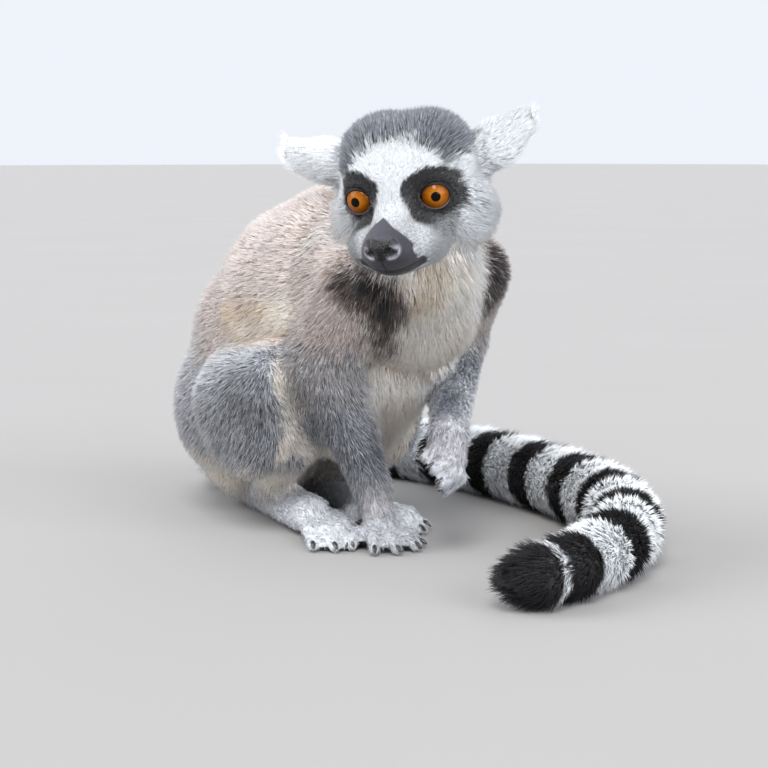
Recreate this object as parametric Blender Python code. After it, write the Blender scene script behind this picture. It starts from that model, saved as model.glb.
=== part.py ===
"""A ring-tailed lemur crouched on the floor, life size, as a still model.

Frame: metres, +Z up, the floor at z = 0, the middle of the footprint at the origin.
The trunk points along -Y, so the animal's left is +X. The head is turned to its right.
Design values are in millimetres from a point on the floor between the hands and the feet.
Each sub-part is a closed solid out to the tips of the coat, and thin cuts part the neighbours.
"""
import math

import bmesh
import bpy
import numpy as np
from mathutils import Matrix, Vector

# ---- driving dimensions, in millimetres ----
MM = 0.001
CUT = 0.36                              # width of the thin cut between neighbours
SLACK = 3.8                             # how far a cutting hull stands outside its sub-part
HULL_FACES = 46
VOXEL = 2.3
BODY_FACES = 3100
ORIGIN = Vector((32.4, -0.17, 0.0))     # middle of the whole footprint, tail included

HEAD_AT = Vector((-36.0, -72.0, 172.0))  # midpoint between the eyeballs
HEAD_TURN = math.radians(-54.0)         # towards the animal's right
HEAD_DIP = math.radians(12.0)           # muzzle below the horizontal
HEAD_ROLL = math.radians(4.5)           # left side of the head raised
EYE_RADIUS = 8.2
EYE_HALF_SPACING = 16.2
EYE_TURN = math.radians(16)              # each eye looks this much outward

TAIL_RADII = (13.5, 17.0, 19.0, 19.5, 19.0, 17.5, 14.5)
TAIL_PATH = ((-2, 108), (8, 136), (38, 156), (84, 147), (113, 104), (119, 42), (111, -28),
             (87, -92), (42, -138), (-14, -157), (-52, -153))
TAIL_PIECES = 6
TAIL_SINK = 1.2                         # how much of the tail's round is pressed flat

# ---- joints of the skeleton ----
HIP = {"right": (-35, 77, 60), "left": (34, 77, 58)}
KNEE = {"right": (-56, 2, 87), "left": (45, 20, 76)}
ANKLE = {"right": (-14, 54, 18), "left": (32, 62, 18)}
SHOULDER = {"right": (-30, -38, 130), "left": (25, -50, 134)}
ELBOW = {"right": (-36, -17, 92), "left": (50, -16, 98)}
WRIST = {"right": (-7, -18, 27), "left": (0, -66, 59)}


def head_axes():
    """Forward, left and up of the head, as the columns of a matrix."""
    turn = Matrix.Rotation(HEAD_TURN, 3, "Z")
    forward = turn @ Vector((0, -math.cos(HEAD_DIP), -math.sin(HEAD_DIP)))
    left = turn @ Vector((1, 0, 0))
    up = forward.cross(left)
    left = left * math.cos(HEAD_ROLL) + up * math.sin(HEAD_ROLL)
    return Matrix((forward, left, forward.cross(left))).transposed()


HEAD_AXES = head_axes()


def in_head(forward, left, up):
    """A point given from the midpoint of the eyes, in the head's own directions."""
    return HEAD_AT + HEAD_AXES @ Vector((forward, left, up))


# ---- masses: the round cones and ellipsoids that the flesh and coat are modelled from ----
class Cone:
    """A sphere at each end and the cone that joins them."""

    def __init__(self, start, end, start_radius, end_radius):
        self.a, self.b = np.array(start, float), np.array(end, float)
        self.ra, self.rb = start_radius, end_radius

    def distance(self, p):
        along = self.b - self.a
        t = np.clip((p - self.a) @ along / (along @ along), 0, 1)
        gap = np.linalg.norm(p - self.a - t[:, None] * along, axis=1)
        return gap - (self.ra + (self.rb - self.ra) * t)

    def balls(self, grow):
        for centre, radius in ((self.a, self.ra), (self.b, self.rb)):
            yield Matrix.Translation(Vector(centre)) @ Matrix.Scale(radius + grow, 4)


class Egg:
    """An ellipsoid, turned by the columns of a matrix."""

    def __init__(self, centre, radii, axes=None):
        self.c, self.r = np.array(centre, float), np.array(radii, float)
        self.axes = np.array(axes if axes is not None else Matrix.Identity(3), float)

    def distance(self, p):
        local = (p - self.c) @ self.axes
        k0 = np.sqrt(((local / self.r) ** 2).sum(1)) + 1e-9
        k1 = np.sqrt(((local / self.r**2) ** 2).sum(1)) + 1e-9
        return k0 * (k0 - 1) / k1

    def balls(self, grow):
        turned = Matrix(self.axes.tolist()).to_4x4()
        sizes = Matrix.Diagonal((*(self.r + grow), 1))
        yield Matrix.Translation(Vector(self.c)) @ turned @ sizes


def digits(root, tips, root_radius, tip_radius, bend=0.55, lift=2.5):
    """Fingers or toes: each is two cones with a raised knuckle between root and tip."""
    masses = []
    for start, tip in zip(root, tips):
        knuckle = np.array(start) * (1 - bend) + np.array(tip) * bend + np.array((0, 0, lift))
        mean = (root_radius + tip_radius) / 2
        masses += [Cone(start, knuckle, root_radius, mean), Cone(knuckle, tip, mean, tip_radius)]
    return masses


def leg(side):
    """Thigh and shank of one hind leg."""
    s = -1 if side == "right" else 1
    hip, knee, ankle = HIP[side], KNEE[side], ANKLE[side]
    middle = np.array(hip) * 0.45 + np.array(knee) * 0.55 + np.array((2 * s, 2, -6))
    thigh = [Egg(hip, (22, 30, 37)), Cone(middle, knee, 25, 14.5),
             Egg(middle + (0, -6, -6), (19, 37, 36))]
    calf = np.array(knee) * 0.52 + np.array(ankle) * 0.48 + np.array((-4 * s, -10, -3))
    shank = [Cone(np.array(knee) + (0, 1, -9), calf, 14, 17), Cone(calf, ankle, 17, 12)]
    return {f"thigh_{side}": thigh, f"shank_{side}": shank}


def arm(side, radii):
    """Upper arm and forearm of one foreleg."""
    shoulder, elbow, wrist = SHOULDER[side], ELBOW[side], WRIST[side]
    return {f"upper_arm_{side}": [Cone(shoulder, elbow, radii[0], radii[1])],
            f"forearm_{side}": [Cone(elbow, wrist, radii[1], radii[2])]}


def ear(side):
    """An ear and its long white hair, flattened front to back, with a blunt end and one raised corner."""
    if side == "right":
        base, tip, wide, corner = in_head(-31, -31, 10), in_head(-31, -59, 17), 9.5, ((-49, 18.5), (-57, 22.5))
    else:
        base, tip, wide, corner = in_head(-31, 31, 9), in_head(-31, 57, 25), 8.5, ((47, 23), (56, 26.5))
    along = (tip - base).normalized()
    across = HEAD_AXES.col[0].cross(along).normalized()
    axes = Matrix((along, across, along.cross(across))).transposed()
    return [Egg(base * 0.7 + tip * 0.3, (17, 12, 6.5), axes),
            Egg(base * 0.32 + tip * 0.68, (11, wide, 5), axes),
            Cone(in_head(-31, *corner[0]), in_head(-31, *corner[1]), 3.8, 3.0)]


def body_masses():
    """Every sub-part that is shaped from masses, in the order in which they are parted."""
    parts = {"ear_right": ear("right"), "ear_left": ear("left")}
    parts["head"] = [
        Egg(in_head(-6, 0, 9), (14, 20, 14), HEAD_AXES),         # forehead
        Cone(in_head(5, 0, 0), in_head(34, 0, -13.4), 8.5, 6.8),  # bridge to the nose
        Egg(in_head(23.5, 0, -18), (14.5, 12.3, 8.8), HEAD_AXES),  # upper lips
        Egg(in_head(13, 0, -24.5), (16, 10.5, 5.8), HEAD_AXES),  # lower jaw
    ]
    for s in (-1, 1):
        parts["head"] += [
            Egg(in_head(-22, 10 * s, 9), (28, 23, 25), HEAD_AXES),        # cranium
            Egg(in_head(-4, 15 * s, 0), (12, 12, 12), HEAD_AXES),        # orbit
            Egg(in_head(-24, 22 * s, -12), (19, 17, 19), HEAD_AXES),     # cheek
            Egg(in_head(7, 12.5 * s, -18.5), (16, 10.5, 11), HEAD_AXES),  # whisker pad
        ]
    parts["neck"] = [Cone(in_head(-36, 0, -14), (-8, -48, 138), 31, 34)]

    parts["hand_right"] = [Cone(WRIST["right"], (-8, -25, 10), 9.5, 8.5),
                           Egg((-9, -27, 7), (12, 10, 8.0))]
    parts["hand_right"] += digits(
        ((-15, -27, 6), (-12, -32, 6), (-6, -33, 6), (-1, -30, 6), (-15, -21, 6)),
        ((-25, -41, 2.4), (-16, -47, 2.4), (-5, -48, 2.4), (2, -43, 2.4), (-27, -25, 2.4)), 4.3, 3.4)
    parts["hand_left"] = [Cone(WRIST["left"], (-3, -68, 51), 9.5, 10),
                          Egg((-3, -68, 49), (10, 10, 11))]
    parts["hand_left"] += [Cone((-6, -74, 48), (-16, -73, 46), 4.6, 3.6),
                           Cone((-4, -76, 43), (-13, -76, 39), 4.4, 3.6),
                           Cone((0, -74, 40), (-8, -73, 35), 4.4, 3.6),
                           Cone((-10, -64, 51), (-17, -66, 51), 4.0, 3.2)]
    parts["foot_right"] = [Cone(ANKLE["right"], (-7, 76, 11), 11, 10.5),
                           Cone((-7, 76, 10), (-20, 16, 9), 10.5, 11.5)]
    parts["foot_right"] += digits(
        ((-27, 10, 7), (-24, 6, 7), (-19, 5, 7), (-14, 8, 7), (-13, 24, 7)),
        ((-43, -16, 2.6), (-36, -24, 2.6), (-27, -25, 2.6), (-17, -18, 2.6), (0, 4, 2.6)), 5.0, 3.6)
    parts["foot_left"] = [Cone(ANKLE["left"], (37, 82, 11), 11, 10.5),
                          Cone((37, 82, 10), (20, 20, 9), 10.5, 11)]
    parts["foot_left"] += digits(
        ((27, 12, 7), (23, 8, 7), (18, 7, 7), (14, 10, 7), (13, 25, 7)),
        ((29, -16, 2.6), (21, -22, 2.6), (12, -21, 2.6), (6, -11, 2.6), (0, 9, 2.6)), 5.0, 3.6)

    parts |= arm("right", (26, 19.5, 11)) | arm("left", (24, 17, 10.5))
    parts |= leg("right") | leg("left")
    parts["trunk"] = [
        Cone((0, -38, 122), (-8, -2, 133), 37, 46),              # chest to withers
        Cone((-8, -2, 133), (-6, 27, 120), 46, 50),
        Cone((-6, 27, 120), (-3, 60, 95), 50, 49),               # loins
        Cone((-3, 60, 95), (3, 86, 55), 49, 42),                 # croup
        Cone((3, 88, 44), (3, 92, 34), 39, 36),                  # rump on the floor
        Cone((4, -12, 88), (6, 12, 56), 32, 26),                 # belly
    ]
    return parts


PARTS = body_masses()
FINE = [name for name in PARTS if name.split("_")[0] in ("hand", "foot", "ear")]


def soft_union(distances, blend):
    """Several distances as one, rounded over about blend where the masses meet."""
    stack = np.array(distances)
    lowest = stack.min(0)
    return lowest - blend * np.log(np.exp(-(stack - lowest) / blend).sum(0))


def field(p):
    """Signed distance, in millimetres, to the outline of the coat."""
    wide = [m.distance(p) for name, masses in PARTS.items() if name not in FINE for m in masses]
    fine = [soft_union([m.distance(p) for m in PARTS[name]], 0.8) for name in FINE]
    return soft_union([soft_union(wide, 3.0)] + fine, 1.4)


def slope(p, step=0.25):
    """Outward direction of the field at each point, of unit length."""
    columns = []
    for axis in np.eye(3) * step:
        columns.append(field(p + axis) - field(p - axis))
    gradient = np.stack(columns, axis=1)
    return gradient / (np.linalg.norm(gradient, axis=1)[:, None] + 1e-12)


# ---- Blender helpers ----
def coords_of(mesh):
    out = np.empty(len(mesh.vertices) * 3, dtype=np.float32)
    mesh.vertices.foreach_get("co", out)
    return out.reshape(-1, 3).astype(float)


def add_object(name, bm):
    mesh = bpy.data.meshes.new(name)
    bm.to_mesh(mesh)
    bm.free()
    obj = bpy.data.objects.new(name, mesh)
    bpy.context.scene.collection.objects.link(obj)
    return obj


def ball_points(matrix, detail):
    bm = bmesh.new()
    bmesh.ops.create_icosphere(bm, subdivisions=detail, radius=1.0)
    points = [matrix @ v.co for v in bm.verts]
    bm.free()
    return points


def hull(name, masses, grow, detail=3):
    """The convex hull of some masses, each grown outward."""
    bm = bmesh.new()
    for mass in masses:
        for matrix in mass.balls(grow):
            for point in ball_points(matrix, detail):
                bm.verts.new(point)
    found = bmesh.ops.convex_hull(bm, input=bm.verts)
    spare = {v for v in found["geom_interior"] + found["geom_unused"] if isinstance(v, bmesh.types.BMVert)}
    bmesh.ops.delete(bm, geom=list(spare), context="VERTS")
    bmesh.ops.recalc_face_normals(bm, faces=bm.faces)
    return add_object(name, bm)


def offset_copy(obj, name, distance):
    """A copy of a closed mesh with each face moved out by the distance."""
    bm = bmesh.new()
    bm.from_mesh(obj.data)
    moves = []
    for v in bm.verts:
        normals = np.array([f.normal for f in v.link_faces])
        moves.append(np.linalg.lstsq(normals, np.full(len(normals), distance), rcond=0.05)[0])
    for v, move in zip(bm.verts, moves):
        v.co += Vector(move)
    return add_object(name, bm)


def cutting_hull(name, masses):
    """The hull of a sub-part's masses, in few faces."""
    cutter = hull(name, masses, SLACK)
    decimate = cutter.modifiers.new("decimate", "DECIMATE")
    decimate.ratio = HULL_FACES / len(cutter.data.polygons)
    apply_modifiers(cutter)
    return cutter


def apply_modifiers(obj):
    """Replace the object's mesh by its modified one."""
    graph = bpy.context.evaluated_depsgraph_get()
    mesh = bpy.data.meshes.new_from_object(obj.evaluated_get(graph))
    obj.modifiers.clear()
    old, obj.data = obj.data, mesh
    bpy.data.meshes.remove(old)
    mesh.name = obj.name


def combine(obj, cutter, operation):
    """Boolean of an object and a cutter, applied at once."""
    cutter.hide_render = True
    cutter.display_type = "WIRE"
    boolean = obj.modifiers.new(operation.lower(), "BOOLEAN")
    boolean.operation = operation
    boolean.solver = "EXACT"
    boolean.object = cutter
    apply_modifiers(obj)


def duplicate(obj, name):
    copy = obj.copy()
    copy.data = obj.data.copy()
    copy.name = copy.data.name = name
    bpy.context.scene.collection.objects.link(copy)
    return copy


def keep_largest(obj):
    """Drop the crumbs that a cut leaves beside the main body."""
    bm = bmesh.new()
    bm.from_mesh(obj.data)
    bmesh.ops.remove_doubles(bm, verts=bm.verts, dist=0.02)
    bmesh.ops.dissolve_degenerate(bm, edges=bm.edges, dist=0.02)
    left, islands = set(bm.verts), []
    while left:
        stack, island = [left.pop()], []
        while stack:
            v = stack.pop()
            island.append(v)
            for e in v.link_edges:
                other = e.other_vert(v)
                if other in left:
                    left.discard(other)
                    stack.append(other)
        islands.append(island)
    islands.sort(key=len)
    for island in islands[:-1]:
        bmesh.ops.delete(bm, geom=island, context="VERTS")
    bm.to_mesh(obj.data)
    bm.free()


# ---- the body in one piece ----
def whole_body():
    """One closed mesh on the zero of the field, flat where it meets the floor."""
    bm = bmesh.new()
    for masses in PARTS.values():
        for mass in masses:
            shape = hull("mass", [mass], 0.0)
            bm.from_mesh(shape.data)
            bpy.data.objects.remove(shape)
    body = add_object("body", bm)
    remesh = body.modifiers.new("remesh", "REMESH")
    remesh.mode = "VOXEL"
    remesh.voxel_size = VOXEL
    apply_modifiers(body)
    p = coords_of(body.data)
    for _ in range(5):
        p -= slope(p) * np.clip(field(p), -2.5, 2.5)[:, None]
    for _ in range(2):                                           # even out the vertices, then return
        p = relaxed(body.data, p)
        p -= slope(p) * np.clip(field(p), -2.5, 2.5)[:, None]
    p[:, 2] = np.where(p[:, 2] < 0.35, 0.0, p[:, 2])
    body.data.vertices.foreach_set("co", p.astype(np.float32).ravel())
    body.data.update()
    count = sum(len(f.vertices) - 2 for f in body.data.polygons)
    decimate = body.modifiers.new("decimate", "DECIMATE")
    decimate.ratio = BODY_FACES / count
    decimate.use_collapse_triangulate = True
    apply_modifiers(body)
    for v in body.data.vertices:
        if v.co.z < 0.35:
            v.co.z = 0.0
    return body


def relaxed(mesh, p):
    """Each vertex moved half way to the mean of its neighbours."""
    edges = np.empty(len(mesh.edges) * 2, dtype=np.int32)
    mesh.edges.foreach_get("vertices", edges)
    a, b = edges[0::2], edges[1::2]
    total = np.zeros_like(p)
    count = np.zeros(len(p))
    np.add.at(total, a, p[b])
    np.add.at(total, b, p[a])
    np.add.at(count, a, 1)
    np.add.at(count, b, 1)
    return p * 0.5 + total / count[:, None] * 0.5


# ---- the tail, laid on the floor ----
def tail_curve(count):
    """Points evenly spaced along the tail's path, by Catmull-Rom between the given points."""
    given = np.array([(2 * TAIL_PATH[0][0] - TAIL_PATH[1][0], 2 * TAIL_PATH[0][1] - TAIL_PATH[1][1]),
                      *TAIL_PATH,
                      (2 * TAIL_PATH[-1][0] - TAIL_PATH[-2][0], 2 * TAIL_PATH[-1][1] - TAIL_PATH[-2][1])],
                     float)
    dense = []
    for i in range(1, len(given) - 2):
        a, b, c, d = given[i - 1:i + 3]
        t = np.linspace(0, 1, 60, endpoint=False)[:, None]
        dense.append(0.5 * (2 * b + (c - a) * t + (2 * a - 5 * b + 4 * c - d) * t**2
                            + (3 * b - a - 3 * c + d) * t**3))
    dense = np.vstack(dense + [given[-2:-1]])
    run = np.concatenate([[0], np.cumsum(np.linalg.norm(np.diff(dense, axis=0), axis=1))])
    even = np.linspace(0, run[-1], count)
    return np.stack([np.interp(even, run, dense[:, k]) for k in (0, 1)], axis=1), run[-1]


def tail_radius(t):
    """Radius of the tail at a fraction of its length; the tip is rounded off."""
    radius = np.interp(t, np.linspace(0, 1, len(TAIL_RADII)), TAIL_RADII)
    rounding = np.sqrt(np.clip(1 - np.clip((t - 0.955) / 0.045, 0, 0.97) ** 2, 0, 1))
    return radius * rounding


def tail_piece(index, around=14, rings=5):
    """One length of the tail: a ring of points at each step, closed at both ends."""
    total = TAIL_PIECES * 60 + 1
    path, length = tail_curve(total)
    gap = CUT / length * 0.5
    start = index / TAIL_PIECES + (gap if index else 0)
    end = (index + 1) / TAIL_PIECES - (gap if index < TAIL_PIECES - 1 else 0)
    steps = np.linspace(start, end, rings + 1)
    if index == TAIL_PIECES - 1:
        steps = np.append(steps[:-2], [0.955, 0.972, 0.986, 0.995, 1.0])
    bm = bmesh.new()
    loops = []
    for t in steps:
        spot = np.array([np.interp(t, np.linspace(0, 1, total), path[:, k]) for k in (0, 1)])
        ahead = np.array([np.interp(min(t + 0.004, 1), np.linspace(0, 1, total), path[:, k]) for k in (0, 1)])
        behind = np.array([np.interp(max(t - 0.004, 0), np.linspace(0, 1, total), path[:, k]) for k in (0, 1)])
        way = (ahead - behind) / np.linalg.norm(ahead - behind)
        radius = float(tail_radius(t))
        height = float(np.interp(t, (0, 0.04, 0.13, 1), (13.0, 9.0, 0.0, 0.0)))
        centre = Vector((spot[0], spot[1], radius - TAIL_SINK + height))
        side = Vector((way[1], -way[0], 0))
        ring = []
        for k in range(around):
            angle = 2 * math.pi * k / around
            point = centre + side * (math.cos(angle) * radius) + Vector((0, 0, math.sin(angle) * radius))
            point.z = max(point.z, 0.0)
            ring.append(bm.verts.new(point))
        loops.append(ring)
    for lower, upper in zip(loops, loops[1:]):
        for k in range(around):
            j = (k + 1) % around
            bm.faces.new((lower[k], lower[j], upper[j], upper[k]))
    bm.faces.new(list(reversed(loops[0])))
    bm.faces.new(loops[-1])
    bmesh.ops.recalc_face_normals(bm, faces=bm.faces)
    bmesh.ops.triangulate(bm, faces=bm.faces)
    return add_object(f"tail_{index + 1}", bm)


# ---- the build ----
for old in list(bpy.data.objects):
    bpy.data.objects.remove(old)

body = whole_body()
pieces = {}
for index in range(TAIL_PIECES):
    pieces[f"tail_{index + 1}"] = tail_piece(index)
combine(body, offset_copy(pieces["tail_1"], "tail_clearance", CUT), "DIFFERENCE")

for side, s in (("right", -1), ("left", 1)):
    centre = in_head(0, EYE_HALF_SPACING * s, 0)
    bm = bmesh.new()
    bmesh.ops.create_uvsphere(bm, u_segments=16, v_segments=9, radius=EYE_RADIUS,
                              matrix=Matrix.Translation(centre))
    pieces[f"eye_{side}"] = add_object(f"eye_{side}", bm)
    bm = bmesh.new()
    bmesh.ops.create_uvsphere(bm, u_segments=16, v_segments=9, radius=EYE_RADIUS + CUT,
                              matrix=Matrix.Translation(centre))
    combine(body, add_object("socket", bm), "DIFFERENCE")
    gaze = HEAD_AXES @ Vector((math.cos(EYE_TURN), math.sin(EYE_TURN) * s, 0))
    bm = bmesh.new()                                             # the lids leave the front of the eye open
    bmesh.ops.create_cone(bm, cap_ends=True, segments=20, radius1=5.6, radius2=9.2, depth=10.0,
                          matrix=Matrix.Translation(centre + gaze * 9.6) @ gaze.to_track_quat("Z", "Y").to_matrix().to_4x4())
    combine(body, add_object("lid_opening", bm), "DIFFERENCE")

for name, masses in PARTS.items():
    if name == "trunk":
        continue
    piece = duplicate(body, name)
    cutter = cutting_hull(name + "_hull", masses)
    combine(piece, cutter, "INTERSECT")
    combine(body, offset_copy(cutter, name + "_clearance", CUT), "DIFFERENCE")
    pieces[name] = piece

for name, sign in (("chest", -1), ("rump", 1)):
    bm = bmesh.new()
    bmesh.ops.create_cube(bm, size=400.0)
    face = CUT / 2 + 200.0
    bmesh.ops.translate(bm, verts=bm.verts, vec=(0, sign * face, 0))
    bmesh.ops.rotate(bm, verts=bm.verts, cent=(0, 0, 0), matrix=Matrix.Rotation(math.radians(-25), 3, "X"))
    bmesh.ops.translate(bm, verts=bm.verts, vec=(0, 14, 90))
    half = duplicate(body, name)
    combine(half, add_object(name + "_half", bm), "INTERSECT")
    pieces[name] = half
bpy.data.objects.remove(body)
for cutter in [o for o in bpy.data.objects if o.display_type == "WIRE"]:
    bpy.data.objects.remove(cutter)

# ---- materials, frame and shading ----
COLOURS = {
    "coat_grey": (0.30, 0.30, 0.32), "coat_brown": (0.42, 0.35, 0.32), "coat_white": (0.80, 0.79, 0.78),
    "coat_black": (0.02, 0.02, 0.025), "eye_amber": (0.55, 0.22, 0.02),
}
MADE_OF = {"head": "coat_white", "ear": "coat_white", "eye": "eye_amber", "neck": "coat_grey",
           "chest": "coat_brown", "rump": "coat_brown", "hand": "coat_white", "foot": "coat_white",
           "upper": "coat_brown", "forearm": "coat_grey", "thigh": "coat_grey", "shank": "coat_grey"}
materials = {}
for slot, colour in COLOURS.items():
    material = bpy.data.materials.new(slot)
    material.use_nodes = True
    shader = material.node_tree.nodes["Principled BSDF"]
    shader.inputs["Base Color"].default_value = (*colour, 1.0)
    shader.inputs["Roughness"].default_value = 0.25 if slot == "eye_amber" else 0.85
    materials[slot] = material

for name, piece in pieces.items():
    keep_largest(piece)
    place = Matrix.Scale(MM, 4) @ Matrix.Translation(-ORIGIN)
    piece.data.transform(place)
    if name.startswith("tail"):
        slot = "coat_black" if int(name[-1]) % 2 == 0 else "coat_white"
    else:
        slot = MADE_OF[name.split("_")[0]]
    piece.data.materials.clear()
    piece.data.materials.append(materials[slot])
    piece.data.shade_smooth()
    faces = sum(len(f.vertices) - 2 for f in piece.data.polygons)
    print(f"{name}: {faces} triangles")
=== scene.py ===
# %% [markdown]
# # A ring-tailed lemur, crouched, with its fur
# The animal is one soft body under a dense coat. We make it as a maker of museum models would:
# a bare skin in the right shape first, then glass-like eyes set behind lids, then the fur,
# laid tuft by tuft along the way that the real coat lies.
# Lengths in this file are in millimetres in the body's own frame; metres appear only when a mesh is stored.

# %% Start from the solids
import math
import time

import bmesh
import bpy
import numpy as np
from mathutils import Matrix, Vector
from mathutils.kdtree import KDTree


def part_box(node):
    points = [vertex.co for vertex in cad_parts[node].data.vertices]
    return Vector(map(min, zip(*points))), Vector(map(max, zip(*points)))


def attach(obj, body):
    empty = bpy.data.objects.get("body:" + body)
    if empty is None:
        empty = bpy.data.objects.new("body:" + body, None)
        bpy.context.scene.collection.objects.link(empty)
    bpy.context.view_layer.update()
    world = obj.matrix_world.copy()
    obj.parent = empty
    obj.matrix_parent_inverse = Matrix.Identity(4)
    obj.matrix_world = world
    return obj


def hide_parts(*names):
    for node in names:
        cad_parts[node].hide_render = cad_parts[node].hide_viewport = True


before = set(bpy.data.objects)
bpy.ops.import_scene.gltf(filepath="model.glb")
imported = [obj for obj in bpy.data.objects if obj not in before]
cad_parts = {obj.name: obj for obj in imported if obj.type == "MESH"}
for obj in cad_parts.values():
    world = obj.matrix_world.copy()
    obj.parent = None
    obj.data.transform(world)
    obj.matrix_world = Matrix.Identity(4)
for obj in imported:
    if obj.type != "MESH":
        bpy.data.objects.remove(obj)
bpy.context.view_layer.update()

started = time.time()
MM = 0.001
NODES = sorted(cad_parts)

# %% [markdown]
# ## The head's own directions
# The lemur looks to its right with the muzzle a little down. It is far easier to place a nostril
# "forward, left and up from between the eyes" than in world numbers, so the head gets its own axes.
# The eyes of the solids say where that middle point is.

# %% The head's axes and the body's frame
HEAD_TURN, HEAD_DIP, HEAD_ROLL = math.radians(-54.0), math.radians(12.0), math.radians(4.5)
EYE_RADIUS, EYE_HALF_SPACING = 8.2, 16.2
HEAD_AT = Vector((-36.0, -72.0, 172.0))


def middle_of(node):
    """The middle of a solid, from its box."""
    low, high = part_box(node)
    return (low + high) / 2


eyes_middle = (middle_of("eye_left") + middle_of("eye_right")) / 2 / MM
SHIFT = eyes_middle - HEAD_AT
print("body frame to row frame, mm:", [round(v, 2) for v in SHIFT])


def head_axes():
    """Forward, left and up of the head, as the columns of a matrix."""
    turn = Matrix.Rotation(HEAD_TURN, 3, "Z")
    forward = turn @ Vector((0, -math.cos(HEAD_DIP), -math.sin(HEAD_DIP)))
    left = turn @ Vector((1, 0, 0))
    up = forward.cross(left)
    left = left * math.cos(HEAD_ROLL) + up * math.sin(HEAD_ROLL)
    return Matrix((forward, left, forward.cross(left))).transposed()


HEAD_AXES = head_axes()
HEAD_NP = np.array(HEAD_AXES)


def in_head(forward, left, up):
    """A place on the head in body millimetres."""
    return HEAD_AT + HEAD_AXES @ Vector((forward, left, up))


def head_coords(p):
    """Points as forward, left and up (f, l and u further down) from the middle of the eyes."""
    return (p - np.array(HEAD_AT)) @ HEAD_NP

# %% [markdown]
# ## Masses
# A body can be thought of as bones wrapped in flesh: each bone is a cone with round ends, and each
# muscle or skull part is an egg. Joined softly they give one smooth outline. Every mass also knows
# which way the fur lies on it, because fur grows from the head to the tail and from shoulder to paw.

# %% Cones and eggs that know the lie of their fur
class Mass:
    """A round cone, or an ellipsoid when it has radii; lie is the way the fur runs on it."""

    def __init__(self, a, b=None, ra=0.0, rb=0.0, radii=None, axes=None, lie=None):
        self.a = np.array(a, float)
        self.b = None if b is None else np.array(b, float)
        self.ra, self.rb = ra, rb
        self.radii = None if radii is None else np.array(radii, float)
        self.axes = np.array(axes if axes is not None else Matrix.Identity(3), float)
        way = np.array(lie if lie is not None else (self.b - self.a), float)
        self.lie = way / np.linalg.norm(way)

    def distance(self, p):
        """Signed distance from each point to the mass; for an ellipsoid a close estimate."""
        if self.radii is None:
            along = self.b - self.a
            t = np.clip((p - self.a) @ along / (along @ along), 0, 1)
            gap = np.linalg.norm(p - self.a - t[:, None] * along, axis=1)
            return gap - (self.ra + (self.rb - self.ra) * t)
        local = (p - self.a) @ self.axes
        k0 = np.sqrt(((local / self.radii) ** 2).sum(1)) + 1e-9
        k1 = np.sqrt(((local / self.radii**2) ** 2).sum(1)) + 1e-9
        return k0 * (k0 - 1) / k1


def cone(a, b, ra, rb, lie=None):
    """A cone with round ends, from a to b; its fur runs that way too, unless lie is given."""
    return Mass(a, b, ra, rb, lie=lie)


def egg(centre, radii, axes=None, lie=(0, 0.3, -1)):
    """An ellipsoid, whose fur hangs down and a little back unless lie is given."""
    return Mass(centre, radii=radii, axes=axes, lie=lie)


def soft_union(distances, blend):
    """Several distances as one, rounded over about blend where the masses meet."""
    stack = np.array(distances)
    lowest = stack.min(0)
    return lowest - blend * np.log(np.exp(-(stack - lowest) / blend).sum(0))

# %% [markdown]
# ## Limbs, head and trunk
# The animal sits with its knees drawn up beside its flanks, props itself on the right hand and holds the
# left one in the air. Its joints are named places here. A thigh is a cone and two eggs, a shin two cones,
# and each digit has a raised knuckle, so that it arches as a living finger does. A skin modifier over a
# few edges could give such limbs too, but then no formula would say how deep a place lies in the body,
# and the fur needs just that.

# %% The limbs
HIP = {"right": (-35, 77, 60), "left": (34, 77, 58)}
KNEE = {"right": (-56, 2, 87), "left": (45, 20, 76)}
ANKLE = {"right": (-14, 54, 18), "left": (32, 62, 18)}
SHOULDER = {"right": (-30, -38, 130), "left": (25, -50, 134)}
ELBOW = {"right": (-36, -17, 92), "left": (50, -16, 98)}
WRIST = {"right": (-7, -18, 27), "left": (0, -66, 59)}


def digits(roots, tips, root_radius, tip_radius, bend=0.55, lift=2.5):
    """Fingers or toes: each is two cones with a raised knuckle between root and tip."""
    masses, mean = [], (root_radius + tip_radius) / 2
    for start, tip in zip(roots, tips):
        knuckle = np.array(start) * (1 - bend) + np.array(tip) * bend + np.array((0, 0, lift))
        masses += [cone(start, knuckle, root_radius, mean), cone(knuckle, tip, mean, tip_radius)]
    return masses


def leg(side):
    """Thigh and shank between the named joints; the calf bulges a little backwards."""
    s = -1 if side == "right" else 1
    hip, knee, ankle = (np.array(joint[side], float) for joint in (HIP, KNEE, ANKLE))
    middle = hip * 0.45 + knee * 0.55 + np.array((2 * s, 2, -6))
    calf = knee * 0.52 + ankle * 0.48 + np.array((-4 * s, -10, -3))
    thigh = [egg(hip, (22, 30, 37)), cone(middle, knee, 25, 14.5, lie=(0, 0.35, -1)),
             egg(middle + (0, -6, -6), (19, 37, 36))]
    shank = [cone(knee + (0, 1, -9), calf, 14, 17), cone(calf, ankle, 17, 12)]
    return {f"thigh_{side}": thigh, f"shank_{side}": shank}


def arm(side, radii):
    """Upper arm and forearm, as thick at shoulder, elbow and wrist as radii say."""
    return {f"upper_arm_{side}": [cone(SHOULDER[side], ELBOW[side], radii[0], radii[1])],
            f"forearm_{side}": [cone(ELBOW[side], WRIST[side], radii[1], radii[2])]}


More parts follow.
